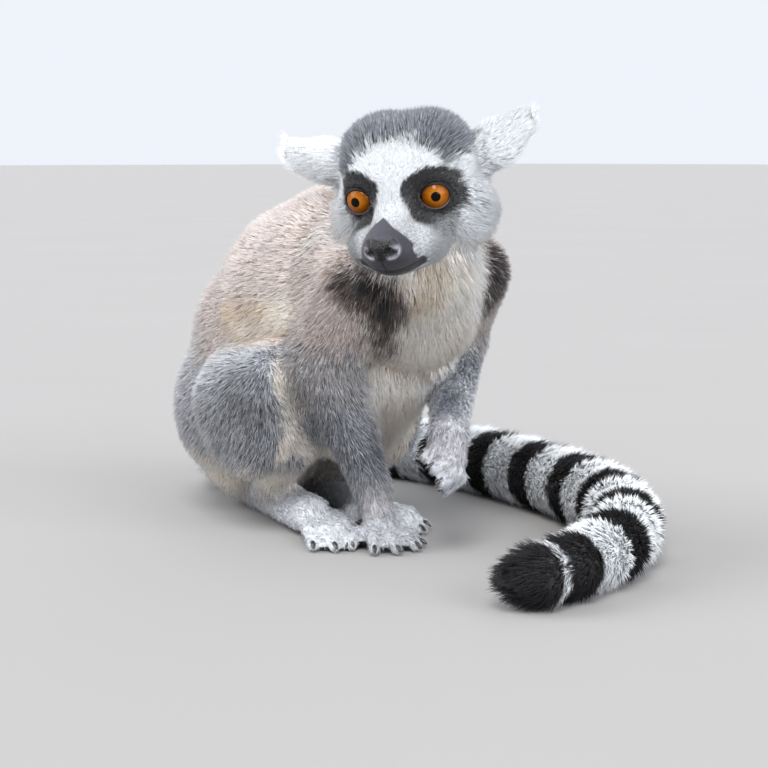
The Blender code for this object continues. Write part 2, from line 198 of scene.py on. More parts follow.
DIGITS = {                      # roots and tips of fingers and toes; the left hand is the raised one
    "hand_right": (((-15, -27, 6), (-12, -32, 6), (-6, -33, 6), (-1, -30, 6), (-15, -21, 6)),
                   ((-25, -41, 2.4), (-16, -47, 2.4), (-5, -48, 2.4), (2, -43, 2.4), (-27, -25, 2.4))),
    "foot_right": (((-27, 10, 7), (-24, 6, 7), (-19, 5, 7), (-14, 8, 7), (-13, 24, 7)),
                   ((-43, -16, 2.6), (-36, -24, 2.6), (-27, -25, 2.6), (-17, -18, 2.6), (0, 4, 2.6))),
    "foot_left": (((27, 12, 7), (23, 8, 7), (18, 7, 7), (14, 10, 7), (13, 25, 7)),
                  ((29, -16, 2.6), (21, -22, 2.6), (12, -21, 2.6), (6, -11, 2.6), (0, 9, 2.6))),
    "hand_left": (((-6, -74, 48), (-4, -76, 43), (0, -74, 40), (-10, -64, 51)),
                  ((-16, -73, 46), (-13, -76, 39), (-8, -73, 35), (-17, -66, 51))),
}
RAISED_RADII = ((4.6, 3.6), (4.4, 3.6), (4.4, 3.6), (4.0, 3.2))


def hands_and_feet():
    """The hand on the ground, the raised hand and both feet, each with its digits."""
    hand_on_ground = [cone(WRIST["right"], (-8, -25, 10), 9.5, 8.5), egg((-9, -27, 7), (12, 10, 8), lie=(0, -1, 0))]
    raised = [cone(WRIST["left"], (-3, -68, 51), 9.5, 10), egg((-3, -68, 49), (10, 10, 11), lie=(-.3, -.2, -1))]
    parts = {"hand_right": hand_on_ground, "hand_left": raised}
    for side, heel, ball, wide in (("right", (-7, 76), (-20, 16, 9), 11.5), ("left", (37, 82), (20, 20, 9), 11)):
        parts[f"foot_{side}"] = [cone(ANKLE[side], (*heel, 11), 11, 10.5, lie=(0, -1, -0.3)),
                                 cone((*heel, 10), ball, 10.5, wide)]
    for name, radii in (("hand_right", (4.3, 3.4)), ("foot_right", (5.0, 3.6)), ("foot_left", (5.0, 3.6))):
        parts[name] += digits(*DIGITS[name], *radii)
    raised += [cone(root, tip, *radii) for root, tip, radii in zip(*DIGITS["hand_left"], RAISED_RADII)]
    return parts


for name, upper, lower in (("leg", HIP, ANKLE), ("arm", SHOULDER, WRIST)):
    reach = [round(float(np.linalg.norm(np.subtract(upper[side], lower[side])))) for side in ("right", "left")]
    print(f"{name} from end to end, right and left, mm:", reach)


# %% The ears, the head and the trunk
def ear_ends(side):
    """Root and tip of an ear."""
    if side == "right":
        return in_head(-31, -31, 10), in_head(-31, -59, 17)
    return in_head(-31, 31, 9), in_head(-31, 57, 25)


def ear_axes(side):
    """Along the ear, across it and through it, as the columns of a matrix."""
    base, tip = ear_ends(side)
    along = (tip - base).normalized()
    across = HEAD_AXES.col[0].cross(along).normalized()
    return Matrix((along, across, along.cross(across))).transposed()


def ear(side):
    """A thin leaf of two flat eggs, with a cone along its upper edge."""
    base, tip = ear_ends(side)
    wide, corner = (9.5, ((-49, 18.5), (-57, 22.5))) if side == "right" else (8.5, ((47, 23), (56, 26.5)))
    start, end = (in_head(-31, *spot) for spot in corner)
    return [egg(base * 0.7 + tip * 0.3, (17, 12, 6.5), ear_axes(side), lie=tip - base),
            egg(base * 0.32 + tip * 0.68, (11, wide, 5), ear_axes(side), lie=tip - base),
            cone(start, end, 3.8, 3.0)]


def head():
    """Brow, muzzle, lips, chin, and on each side skull, eye pit, cheek and whisker pad."""
    back = -HEAD_AXES.col[0]
    masses = [egg(in_head(-6, 0, 9), (14, 20, 14), HEAD_AXES, back),
              cone(in_head(5, 0, 0), in_head(34, 0, -13.4), 8.5, 6.8, lie=back),
              egg(in_head(23.5, 0, -18), (14.5, 12.3, 8.8), HEAD_AXES, back),
              egg(in_head(13, 0, -24.5), (16, 10.5, 5.8), HEAD_AXES, back)]
    for s in (-1, 1):
        masses += [egg(in_head(-22, 10 * s, 9), (28, 23, 25), HEAD_AXES, back),
                   egg(in_head(-4, 15 * s, 0), (12, 12, 12), HEAD_AXES, back),
                   egg(in_head(-24, 22 * s, -12), (19, 17, 19), HEAD_AXES, back),
                   egg(in_head(7, 12.5 * s, -18.5), (16, 10.5, 11), HEAD_AXES, back)]
    return masses


def trunk():
    """Chest, withers, loins, croup, the rump on the floor and the belly."""
    return [cone((0, -38, 122), (-8, -2, 133), 37, 46),
            cone((-8, -2, 133), (-6, 27, 120), 46, 50),
            cone((-6, 27, 120), (-3, 60, 95), 50, 49),
            cone((-3, 60, 95), (3, 86, 55), 49, 42),
            cone((3, 88, 44), (3, 92, 34), 39, 36, lie=(0, 0.3, -1)),
            cone((4, -12, 88), (6, 12, 56), 32, 26, lie=(0, 0.3, -1))]


print("masses of head and trunk:", len(head()), len(trunk()))

# %% [markdown]
# ## The tail
# A lemur's tail is longer than its body. Here it lies on the floor in one even curve round the left side.
# A curve object with a round bevel would draw the same tube. A chain of cones is used instead, so that
# the tail grows out of the rump as softly as all other masses meet.

# %% The tail on the floor
TAIL_RADII = (13.5, 17.0, 19.0, 19.5, 19.0, 17.5, 14.5)
TAIL_PATH = ((-2, 108), (8, 136), (38, 156), (84, 147), (113, 104), (119, 42), (111, -28),
             (87, -92), (42, -138), (-14, -157), (-52, -153))
TAIL_SINK = 1.2


def tail_curve(count):
    """Points evenly spaced along the tail, by Catmull-Rom between the given points."""
    ends = [(2 * TAIL_PATH[i][0] - TAIL_PATH[j][0], 2 * TAIL_PATH[i][1] - TAIL_PATH[j][1])
            for i, j in ((0, 1), (-1, -2))]
    given = np.array([ends[0], *TAIL_PATH, ends[1]], float)
    dense = []
    for i in range(1, len(given) - 2):
        a, b, c, d = given[i - 1:i + 3]
        t = np.linspace(0, 1, 60, endpoint=False)[:, None]
        dense.append(0.5 * (2 * b + (c - a) * t + (2 * a - 5 * b + 4 * c - d) * t**2
                            + (3 * b - a - 3 * c + d) * t**3))
    dense = np.vstack(dense + [given[-2:-1]])
    run = np.concatenate([[0], np.cumsum(np.linalg.norm(np.diff(dense, axis=0), axis=1))])
    even = np.linspace(0, run[-1], count)
    return np.stack([np.interp(even, run, dense[:, k]) for k in (0, 1)], axis=1), run[-1]


def tail_masses(count=26):
    """Cones along the tail, whose root lifts off the floor to meet the rump."""
    path = tail_curve(count)[0]
    t = np.linspace(0, 1, count)
    radius = np.interp(t, np.linspace(0, 1, len(TAIL_RADII)), TAIL_RADII)
    height = radius - TAIL_SINK + np.interp(t, (0, 0.04, 0.13, 1), (13, 9, 0, 0))
    spots = np.column_stack([path, height])
    stop = count - 2                                    # the last cone ends where its round end meets the tip
    return [cone(spots[i], spots[i + 1] if i < stop else spots[i] + (spots[i + 1] - spots[i]) * 0.4,
                 radius[i], radius[i + 1] * (1 if i < stop else 0.9)) for i in range(stop + 1)]


TAIL_POINTS, TAIL_LENGTH = tail_curve(400)
PARTS = {"ear_right": ear("right"), "ear_left": ear("left"), "head": head(),
         "neck": [cone(in_head(-36, 0, -14), (-8, -48, 138), 31, 34)], **hands_and_feet(),
         **arm("right", (26, 19.5, 11)), **arm("left", (24, 17, 10.5)), **leg("right"), **leg("left"),
         "trunk": trunk(), "tail": tail_masses()}
GROUPS = sorted(PARTS)


def kind(name):
    """The sort of part that a name stands for: thigh_left is a thigh."""
    return name.split("_")[0]


FINE = [name for name in PARTS if kind(name) in ("hand", "foot", "ear")]
print("parts:", len(PARTS), "masses:", sum(map(len, PARTS.values())), "tail length mm:", round(TAIL_LENGTH))
WIDE_BLEND, FINE_BLEND, JOIN_BLEND = 3.0, 0.8, 1.4      # how softly masses meet, in mm


def outline(p, names=tuple(PARTS)):
    """Signed distance to the tips of the coat, of the whole animal or of some of its parts."""
    wide = [m.distance(p) for name in PARTS if name in names and name not in FINE for m in PARTS[name]]
    fine = [soft_union([m.distance(p) for m in PARTS[name]], FINE_BLEND) for name in FINE if name in names]
    return soft_union([soft_union(wide, WIDE_BLEND)] + fine, JOIN_BLEND)

# %% [markdown]
# ## How deep the fur is
# The solids reach to the tips of the coat, so the skin lies inside them by the length that the fur
# stands up. That is a few millimetres on the back, more on the chest and tail, and almost nothing on
# the face, where the hair is as short as velvet.

# %% Depth of the coat and lie of the fur
COAT_DEPTH = {"ear": 2.0, "head": 3.6, "neck": 5.5, "hand": 1.0, "foot": 1.2, "upper": 5.0, "forearm": 3.2,
              "thigh": 5.0, "shank": 4.0, "trunk": 5.5, "tail": 6.0}
VELVET, BEHIND_VELVET = 0.45, 3.0        # depth on the muzzle, and how much is added towards the back of the head
SHARE_BLEND, LIE_BLEND = 3.0, 4.0        # how far one part's fur reaches into the next, in mm


def smooth(x, low, high):
    """0 below low, 1 above high and a soft step between."""
    t = np.clip((x - low) / (high - low), 0, 1)
    return t * t * (3 - 2 * t)


def mixed(a, b, t):
    """From a to b, as far as t says."""
    return a * (1 - t) + b * t


def part_shares(p, names):
    """The share that each named part has in each point, the distances to its masses, and the least of them."""
    distances = [np.stack([m.distance(p) for m in PARTS[name]]) for name in names]
    nearest = np.stack([d.min(0) for d in distances])
    lowest = nearest.min(0)
    share = np.exp(-(nearest - lowest) / SHARE_BLEND)
    share /= share.sum(0)
    return dict(zip(names, share)), distances, lowest


def share_of(share, *kinds):
    """The share that all parts of some kinds have together."""
    return sum(share[name] for name in GROUPS if kind(name) in kinds)


def near_parts(p):
    """For each point, the share of each part and the blended way that the fur runs."""
    share, distances, lowest = part_shares(p, GROUPS)
    lie = np.zeros_like(p)
    for name, d in zip(GROUPS, distances):
        for mass, pull in zip(PARTS[name], np.exp(-(d - lowest) / LIE_BLEND)):
            lie += pull[:, None] * mass.lie
    return share, lie


def coat_depth(p, share):
    """How far the skin lies below the tips of the coat."""
    depth = sum(part * COAT_DEPTH[kind(name)] for name, part in share.items())
    face = VELVET + BEHIND_VELVET * smooth(-head_coords(p)[:, 0], -20, 12)
    return depth + share["head"] * (face - COAT_DEPTH["head"])


def slope(field, p, step=0.3):
    """Outward direction of a field at each point, from four probes at the corners of a tetrahedron."""
    total = np.zeros_like(p)
    for corner in ((1, 1, 1), (1, -1, -1), (-1, 1, -1), (-1, -1, 1)):
        way = np.array(corner) * step
        total += field(p + way)[:, None] * way
    return total / (np.linalg.norm(total, axis=1)[:, None] + 1e-12)


# %% Mesh helpers
def numbers(items, attribute, width, sort=np.float32):
    """One attribute of a mesh's items as an array, with width numbers in each row."""
    out = np.empty(len(items) * width, sort)
    items.foreach_get(attribute, out)
    return out.reshape(-1, width)


def coords_of(mesh, attribute="co"):
    """The places of all vertices, or another of their vectors."""
    return numbers(mesh.vertices, attribute, 3).astype(float)


def set_coords(mesh, p):
    """Move all vertices to new places, in metres."""
    mesh.vertices.foreach_set("co", p.astype(np.float32).ravel())
    mesh.update()


def to_row(p):
    """From the body's millimetres to the row's metres."""
    return (p + np.array(SHIFT)) * MM


def to_body(p):
    """From the row's metres to the body's millimetres."""
    return p / MM - np.array(SHIFT)


def relaxed(mesh, p, share=0.5):
    """Points drawn towards the mean of their neighbours, by a share of the way."""
    a, b = numbers(mesh.edges, "vertices", 2, np.int32).T
    total = np.stack([np.bincount(a, p[b, i], len(p)) + np.bincount(b, p[a, i], len(p)) for i in range(3)], axis=1)
    count = np.bincount(a, minlength=len(p)) + np.bincount(b, minlength=len(p))
    return p * (1 - share) + total / np.maximum(count, 1)[:, None] * share


def new_object(name, data):
    """A new object in the scene, with a mesh, a lamp or a camera for its data."""
    obj = bpy.data.objects.new(name, data)
    bpy.context.scene.collection.objects.link(obj)
    return obj


def dress(obj, material):
    """Shade an object smoothly and give it its material."""
    obj.data.shade_smooth()
    obj.data.materials.append(material)


def apply_modifiers(obj):
    """Put the result of an object's modifiers in place of its mesh."""
    mesh = bpy.data.meshes.new_from_object(obj.evaluated_get(bpy.context.evaluated_depsgraph_get()))
    obj.modifiers.clear()
    old, obj.data = obj.data, mesh
    bpy.data.meshes.remove(old)


def mesh_from(name, p, faces):
    """A mesh object from body millimetres and a list or array of faces."""
    mesh = bpy.data.meshes.new(name)
    mesh.from_pydata([tuple(v) for v in to_row(np.asarray(p, float))], [], [tuple(int(i) for i in f) for f in faces])
    mesh.update()
    return new_object(name, mesh)

# %% [markdown]
# ## One skin
# A seam at each joint would look like a toy's, so the solids of the flesh are joined and remeshed into
# one closed surface. Each of its points then slides along the body's own soft outline until it lies as deep
# as the coat is thick. The head's faces are divided further in the next step, for nostrils and lips.

# %% Join the solids into one skin
SKIN_VOXEL = 2.0
SWELL = 0.2                                # a little more than half of the cuts between the solids
FARTHEST_STEP, LOWEST_SKIN = 3, 0.6
FLESH = [n for n in NODES if not n.startswith("eye")]


def joined_solids():
    """All solids of flesh in one mesh, swollen until their cuts close, and remeshed."""
    bm = bmesh.new()
    for name in FLESH:
        bm.from_mesh(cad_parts[name].data)
    mesh = bpy.data.meshes.new("skin")
    bm.to_mesh(mesh)
    bm.free()
    obj = new_object("skin", mesh)
    swell = obj.modifiers.new("close_cuts", "DISPLACE")
    swell.strength = SWELL * MM
    swell.mid_level = 0.0
    remesh = obj.modifiers.new("remesh", "REMESH")
    remesh.mode = "VOXEL"
    remesh.voxel_size = SKIN_VOXEL * MM
    apply_modifiers(obj)
    return obj


def keep_biggest_island(mesh):
    """Delete what isn't joined to the outer skin, such as walls of hollows, and count what there was."""
    bm = bmesh.new()
    bm.from_mesh(mesh)
    left, islands = set(bm.verts), []
    while left:
        stack, island = [left.pop()], []
        while stack:
            v = stack.pop()
            island.append(v)
            for e in v.link_edges:
                other = e.other_vert(v)
                if other in left:
                    left.discard(other)
                    stack.append(other)
        islands.append(island)
    islands.sort(key=len)
    for island in islands[:-1]:
        bmesh.ops.delete(bm, geom=island, context="VERTS")
    bm.to_mesh(mesh)
    bm.free()
    return len(islands)


skin = joined_solids()
print("islands:", keep_biggest_island(skin.data), "vertices:", len(skin.data.vertices))


def body_skin(p):
    """Signed distance to the skin, which lies under the coat's outline."""
    return outline(p) + coat_depth(p, part_shares(p, GROUPS)[0])


p = to_body(coords_of(skin.data))
for step in range(4):
    p -= slope(outline, p) * np.clip(body_skin(p), -FARTHEST_STEP, FARTHEST_STEP)[:, None]
p = relaxed(skin.data, p)
p -= slope(outline, p) * np.clip(body_skin(p), -FARTHEST_STEP, FARTHEST_STEP)[:, None]
p[:, 2] = np.maximum(p[:, 2], LOWEST_SKIN)
set_coords(skin.data, to_row(p))
print("skin laid in", round(time.time() - started, 1), "s")

# %% [markdown]
# ## The face
# A lemur's face is a narrow fox-like muzzle with a wet, bare nose pad, comma-shaped nostrils, a long
# mouth line that turns up at the corners, and round eyes set in a little pit each. These are small
# dents and swellings of the skin, so they are written as depths that change from place to place.

# %% Divide the head more finely
def divide_where(mesh, chosen):
    """Halve the edges whose ends are both chosen by their place on the head."""
    bm = bmesh.new()
    bm.from_mesh(mesh)
    bm.verts.ensure_lookup_table()
    local = head_coords(to_body(np.array([v.co for v in bm.verts])))
    inside = chosen(local)
    edges = [e for e in bm.edges if inside[e.verts[0].index] and inside[e.verts[1].index]]
    bmesh.ops.subdivide_edges(bm, edges=edges, cuts=1, use_grid_fill=True)
    bmesh.ops.triangulate(bm, faces=[f for f in bm.faces if len(f.verts) > 4])
    bm.to_mesh(mesh)
    bm.free()


divide_where(skin.data, lambda q: (np.linalg.norm(q - (-6, 0, -4), axis=1) < 50) & (q[:, 0] > -32))
divide_where(skin.data, lambda q: (np.linalg.norm(q - (12, 0, -8), axis=1) < 36) & (q[:, 0] > -7))
divide_where(skin.data, lambda q: np.linalg.norm(q - (36, 0, -15), axis=1) < 11)
print("vertices with a fine face:", len(skin.data.vertices))

# %% Places and dents of the face
EYE_TURN, EYE_LIFT = math.radians(16), math.radians(3)
SIDES = (("right", -1), ("left", 1))
EYE_LOCAL = {s: np.array((0.0, EYE_HALF_SPACING * s, 0.0)) for s in (-1, 1)}
GAZE_LOCAL = {s: np.array((math.cos(EYE_TURN), math.sin(EYE_TURN) * s, math.sin(EYE_LIFT))) for s in (-1, 1)}
GAZE_LOCAL = {s: g / np.linalg.norm(g) for s, g in GAZE_LOCAL.items()}
HEAD_NAMES = ("ear_right", "ear_left", "head", "neck", "trunk", "upper_arm_right", "upper_arm_left")
NOSE_MIDDLE, LIP_MIDDLE = -1.2, -0.9       # the middle of nose and lips, to the side of the head's own middle
NOSE_PAD = egg(in_head(36.2, NOSE_MIDDLE, -14.4), (5.4, 7.1, 4.9), HEAD_AXES)
PAD_INSET, PAD_BLEND = 0.3, 0.7
EYE_GAP = 0.12                             # between eyeball and skin
OPENING_RADIUS, OPENING_FLARE, OPENING_SQUASH = 5.2, 0.45, 1.22      # between the lids, a cone lower than wide
OPENING_FROM, FAR_OFF = 4.0, 9.0           # where the opening starts before the eye's middle; no opening behind
FACE_CENTRE, FACE_REACH, FACE_BACK, FACE_FADE = (-2, 0, -6), 47, -28, 5
FACE_STEP, FACE_HASTE, FACE_PROBE, FACE_EASE = 1.2, 0.85, 0.2, 0.35


def mouth_height(f, l):
    """Where the closed lips meet, at a distance forward and to the side."""
    return -26.0 + 0.10 * np.clip(36 - f, 0, 20) + 0.004 * l * l


def brow_line(l, top):
    """Height of the arch over both brows, which starts at top and sinks to the sides."""
    return top - 0.0205 * l * l


def nostrils(f, side, u):
    """A comma on each side of the nose: round in front, drawn out and up at the side."""
    round_part = (f - 39.5) ** 2 / 18 + (side - 4.2) ** 2 / 3.4 + (u + 15.6) ** 2 / 3.2
    tail_part = (f - 37.0) ** 2 / 14 + (side - 6.0) ** 2 / 1.5 + (u + 13.4) ** 2 / 4.0
    return np.exp(-np.minimum(round_part, tail_part))


def face_dents(q):
    """How far the skin is pressed in, in mm, by lips, nostrils and the groove under the nose."""
    f, l, u = q.T
    side, l = np.abs(l - NOSE_MIDDLE), l - LIP_MIDDLE
    lips = 1.3 * np.exp(-((u - mouth_height(f, l)) / 0.8) ** 2) * smooth(f, 14, 18) * smooth(-side, -18, -14)
    hole = 4.6 * nostrils(f, side, u)
    rim = -0.9 * np.exp(-((f - 36.5) ** 2 / 16 + (side - 7.7) ** 2 / 0.9 + (u + 14.6) ** 2 / 9.0))
    groove = 0.8 * np.exp(-(l / 0.75) ** 2) * smooth(f, 31, 34) * smooth(-u, 14.5, 16.5)
    pad_edge = np.abs(NOSE_PAD.distance(np.array(HEAD_AT) + q @ HEAD_NP.T))
    return lips + hole + rim + groove + 0.4 * np.exp(-(pad_edge / 0.8) ** 2) * smooth(f, 28, 32)


# %% Shape the face
def face_skin(p):
    """Signed distance to the skin of the face, with the nose pad, its dents, and a pit for each eye."""
    q = head_coords(p)
    d = outline(p, HEAD_NAMES) + coat_depth(p, part_shares(p, HEAD_NAMES)[0])
    d = soft_union([d, NOSE_PAD.distance(p) + PAD_INSET], PAD_BLEND)
    d = d + face_dents(q)
    for s in (-1, 1):
        away = q - EYE_LOCAL[s]
        ball = np.linalg.norm(away, axis=1) - (EYE_RADIUS + EYE_GAP)
        along = away @ GAZE_LOCAL[s]
        flat = away - along[:, None] * GAZE_LOCAL[s]
        across = np.linalg.norm(flat * (1.0, 1.0, OPENING_SQUASH), axis=1)
        opening = (across - OPENING_RADIUS - OPENING_FLARE * np.maximum(along, 0)) * 0.9
        opening = np.where(along > 0, opening, FAR_OFF)
        d = np.maximum(d, -ball)
        d = np.maximum(d, -np.maximum(opening, OPENING_FROM - along))
    return d


p = to_body(coords_of(skin.data))
q = head_coords(p)
from_centre = np.linalg.norm(q - FACE_CENTRE, axis=1)
on_face = np.nonzero((from_centre < FACE_REACH) & (q[:, 0] > FACE_BACK))[0]
fade = (smooth(-from_centre[on_face], -FACE_REACH, -FACE_REACH + FACE_FADE)
        * smooth(q[on_face, 0], FACE_BACK, FACE_BACK + FACE_FADE))
for step in range(5):
    here = p[on_face]
    move = np.clip(face_skin(here), -FACE_STEP, FACE_STEP) * FACE_HASTE * fade
    p[on_face] = here - slope(face_skin, here, FACE_PROBE) * move[:, None]
    if step in (1, 3):
        eased = relaxed(skin.data, p, FACE_EASE)
        p[on_face] = p[on_face] + (eased[on_face] - p[on_face]) * fade[:, None]
set_coords(skin.data, to_row(p))
skin.data.shade_smooth()
print("face shaped in", round(time.time() - started, 1), "s")

# %% [markdown]
# ## Markings
# The animal's colours are simple when told in words: a white face with black eye patches and a slate
# muzzle, a grey cap, a back of warm grey-brown, cool grey arms and thighs, cream below, black and white
# rings on the tail. The same words colour the skin and the fur, so no bare spot ever shows through.

# %% The palette
def rgb(r, g, b):
    """A colour given as on a screen, turned into light."""
    c = np.array((r, g, b), float) / 255
    return np.where(c <= 0.04045, c / 12.92, ((c + 0.055) / 1.055) ** 2.4)


FUR = {                       # colour near the skin, colour at the tip, spread of light from tuft to tuft
    "back": (rgb(160, 141, 132), rgb(250, 232, 224), 0.36),
    "grey": (rgb(94, 95, 101), rgb(234, 237, 244), 0.74),
    "cap": (rgb(22, 23, 25), rgb(128, 132, 142), 0.70),
    "white": (rgb(238, 243, 248), rgb(250, 252, 254), 0.08),
    "cream": (rgb(250, 236, 222), rgb(255, 248, 238), 0.08),
    "tan": (rgb(200, 172, 138), rgb(238, 214, 180), 0.12),
    "black": (rgb(10, 10, 12), rgb(24, 23, 27), 0.30),
    "slate": (rgb(52, 51, 58), rgb(74, 73, 82), 0.15),
    "paw": (rgb(124, 125, 132), rgb(216, 218, 224), 0.34),
    "sable": (rgb(30, 26, 27), rgb(142, 124, 116), 0.50),
}
ORDER = list(FUR)
ROOTS = np.stack([FUR[k][0] for k in ORDER])
TIPS = np.stack([FUR[k][1] for k in ORDER])
SPREAD = np.array([FUR[k][2] for k in ORDER])


FACE_DIM, FRONT_DIM, MUZZLE_DIM, EAR_DIM, PAW_DIM, TAIL_DIM = 0.18, 0.16, 0.28, 0.36, 0.16, 0.2


def short_fur_shade(p, share):
    """Short or open fur shades itself less than the body's, so it is dimmed, and most of all on the muzzle."""
    forward, _, up = head_coords(p).T
    face = FACE_DIM + FRONT_DIM * smooth(forward, -16, 0) + MUZZLE_DIM * smooth(forward, 4, 16) * smooth(-up, -2, 7)
    paws = share_of(share, "hand", "foot")
    return 1 - share["head"] * face - EAR_DIM * share["ear_left"] - PAW_DIM * paws - TAIL_DIM * share["tail"]


def wander(p, size, seed):
    """Smooth noise between about -1 and 1 that changes over the given size in mm: a sum of slanting waves."""
    waves, tightness, height = 7, 2.2, 3.2
    rng = np.random.default_rng(seed)
    ways = rng.normal(size=(waves, 3)) / size
    turns = rng.uniform(0, 2 * math.pi, waves)
    return np.sin(p @ ways.T * tightness + turns).sum(1) / height


def to_line(p, a, b):
    """Distance to a straight line between two places."""
    a, b = np.array(a, float), np.array(b, float)
    along = b - a
    t = np.clip((p - a) @ along / (along @ along), 0, 1)
    return np.linalg.norm(p - a - t[:, None] * along, axis=1)


print("palette:", ", ".join(ORDER))

# %% [markdown]
# ## Where each colour lies
# Every marking is a rule on a place: how far it is from a line on the body, how high, which way it faces.
# The rules are laid one over the other like thin washes, the back's brown first and the black last. A
# hand-painted map on an unwrap would do as well, but rules stay sharp at any size and also tell each
# tuft of fur what colour it has.

# %% The body's markings
def paint_over(mix, name, cover):
    """Lay one colour over the mix, as much as cover says at each point."""
    cover = np.clip(cover, 0, 1)[:, None]
    mix *= 1 - cover
    mix[:, ORDER.index(name)] += cover[:, 0]


def along_tail(p):
    """Distance along the tail, in mm, of the place on it that is nearest to each point."""
    best, where = np.full(len(p), 1e9), np.zeros(len(p))
    step = TAIL_LENGTH / (len(TAIL_POINTS) - 1)
    for i in range(0, len(TAIL_POINTS), 4):
        d = (p[:, 0] - TAIL_POINTS[i, 0]) ** 2 + (p[:, 1] - TAIL_POINTS[i, 1]) ** 2
        closer = d < best
        best[closer] = d[closer]
        where[closer] = i
    i = np.clip(where.astype(int), 1, len(TAIL_POINTS) - 2)
    way = TAIL_POINTS[i + 1] - TAIL_POINTS[i - 1]
    way /= np.linalg.norm(way, axis=1)[:, None]
    extra = ((p[:, :2] - TAIL_POINTS[i]) * way).sum(1)
    return where * step + extra


BLACK_BANDS = (((-49, -53, 135), (-42, -61, 130), 8.0), ((-42, -61, 130), (-37, -64, 120), 10.0),
               ((-37, -64, 120), (-32, -57, 105), 8.5), ((-32, -57, 105), (-22, -46, 91), 6.5),
               ((27, -72, 152), (32, -70, 116), 10.5))
RING_PERIOD, RING_BLACK, FIRST_RING = 41.0, 18.0, 30.0


def markings(p, n, share):
    """For each point, how much of each colour of the palette it wears."""
    mix = np.zeros((len(p), len(ORDER)))
    x, y, z = p.T
    blur = wander(p, 9, 3)
    fine = wander(p, 3, 4)
    part = {k: share_of(share, k) for k in COAT_DEPTH}
    mix[:, ORDER.index("back")] = 1.0
    # cool grey limbs, and a rump that turns grey towards the tail
    paint_over(mix, "grey", part["thigh"] + part["shank"] + part["forearm"])
    leg = part["thigh"] + part["shank"]
    paint_over(mix, "cap", part["forearm"] * 0.7 + leg * smooth(-y + 5 * blur, -52, -8) * 0.5)
    paint_over(mix, "sable", part["upper"] * smooth(-z + 0.3 * y + 5 * blur, -124, -96) * 0.75)
    paint_over(mix, "grey", part["trunk"] * smooth(y + 0.35 * (120 - z) + 9 * blur, 54, 118) * 0.75)
    paint_over(mix, "grey", part["upper"] * smooth(-z + 4 * blur, -112, -88) * 0.8)
    paint_over(mix, "grey", part["neck"] * 0.6)
    # cream between back and thigh, on the inner side of the thigh, and white below
    band = part["trunk"] * smooth(share["thigh_right"] + share["thigh_left"], 0.03, 0.3) * smooth(z, 78, 96)
    paint_over(mix, "cream", band * 0.4)
    above = np.minimum(to_line(p, (-52, 34, 110), (-52, 4, 109)), to_line(p, (44, 50, 100), (44, 20, 98)))
    paint_over(mix, "tan", part["trunk"] * smooth(-above + 2 * blur, -17, -5) * 0.6)
    paint_over(mix, "paw", leg * smooth(y + 4 * blur, 24, 66) * 0.5)
    for s in (-1, 1):                       # a narrow pale edge down the front of each thigh
        edge = to_line(p * (s, 1, 1), (57, -12, 94), (44, -8, 60))
        paint_over(mix, "cream", leg * smooth(-edge + 1.5 * blur, -9, -4) * 0.85)
    inner = leg * smooth(-n[:, 1] - 0.55 * np.sign(x) * n[:, 0], 0.5, 0.9) * smooth(-z, -70, -54)
    paint_over(mix, "cream", inner * 0.85)
    paint_over(mix, "cream", (part["trunk"] + leg) * smooth(-z + 0.05 * y + 3 * blur, -42, -27) * 0.95)
    # the bib: chest, throat and belly
    front = smooth(-n[:, 1] + 0.10 * n[:, 0], 0.12, 0.5) + smooth(-n[:, 2], 0.15, 0.6)
    chest = (part["trunk"] + part["neck"]) * front * smooth(-y - 0.1 * z, -22, -2) * smooth(-n[:, 2], -0.75, -0.45)
    paint_over(mix, "cream", chest)
    paint_over(mix, "white", chest * (0.55 + 0.4 * smooth(x + 0.2 * z + 4 * blur, -6, 22)))
    paint_over(mix, "cream", part["neck"] * smooth(-n[:, 1] + 0.4 * n[:, 0] - 0.3 * n[:, 2], 0.25, 0.6) * 0.9)
    paint_over(mix, "cream", part["trunk"] * smooth(-n[:, 2], 0.0, 0.45) * smooth(-y, -70, -20))
    q = head_coords(p)
    throat = to_line(p, in_head(0, 15, -33), in_head(3, 6, -46))
    paint_over(mix, "tan", (part["neck"] + part["trunk"]) * smooth(-throat + 3 * fine, -14, -4) * 0.6)
    # black where the arms meet the chest
    for a, b, wide in BLACK_BANDS:
        near = -to_line(p, a, b) + 2.2 * blur + 1.4 * fine
        paint_over(mix, "sable", smooth(near, -wide - 7, -wide + 1) * 0.6)
        paint_over(mix, "black", smooth(near, -wide - 3, -wide + 3) * 0.8)
    paint_over(mix, "paw", share["forearm_left"] * smooth(-z + 4 * blur, -92, -70) * 0.85)
    wrist = to_line(p, (8, -60, 80), (1, -63, 74))
    paint_over(mix, "cap", share["forearm_left"] * smooth(-wrist + blur, -12, -5) * 0.9)
    # paws
    paint_over(mix, "paw", part["hand"] + part["foot"])
    paint_over(mix, "white", part["foot"] * 0.5)
    paint_over(mix, "paw", share["forearm_right"] * smooth(-z + 4 * blur, -44, -30) * 0.6)
    # tail rings, black at the tip
    run = along_tail(p)
    phase = np.mod(run - FIRST_RING + 1.1 * fine, RING_PERIOD)
    ring = smooth(phase, 0, 2.2) * (1 - smooth(phase, RING_BLACK, RING_BLACK + 2.2)) * (run > FIRST_RING - 4)
    paint_over(mix, "white", part["tail"] * smooth(run, 4, 14))
    paint_over(mix, "black", part["tail"] * np.maximum(ring, smooth(run, TAIL_LENGTH - 30, TAIL_LENGTH - 26)))
    return face_markings(mix, q, n, part, blur, fine)


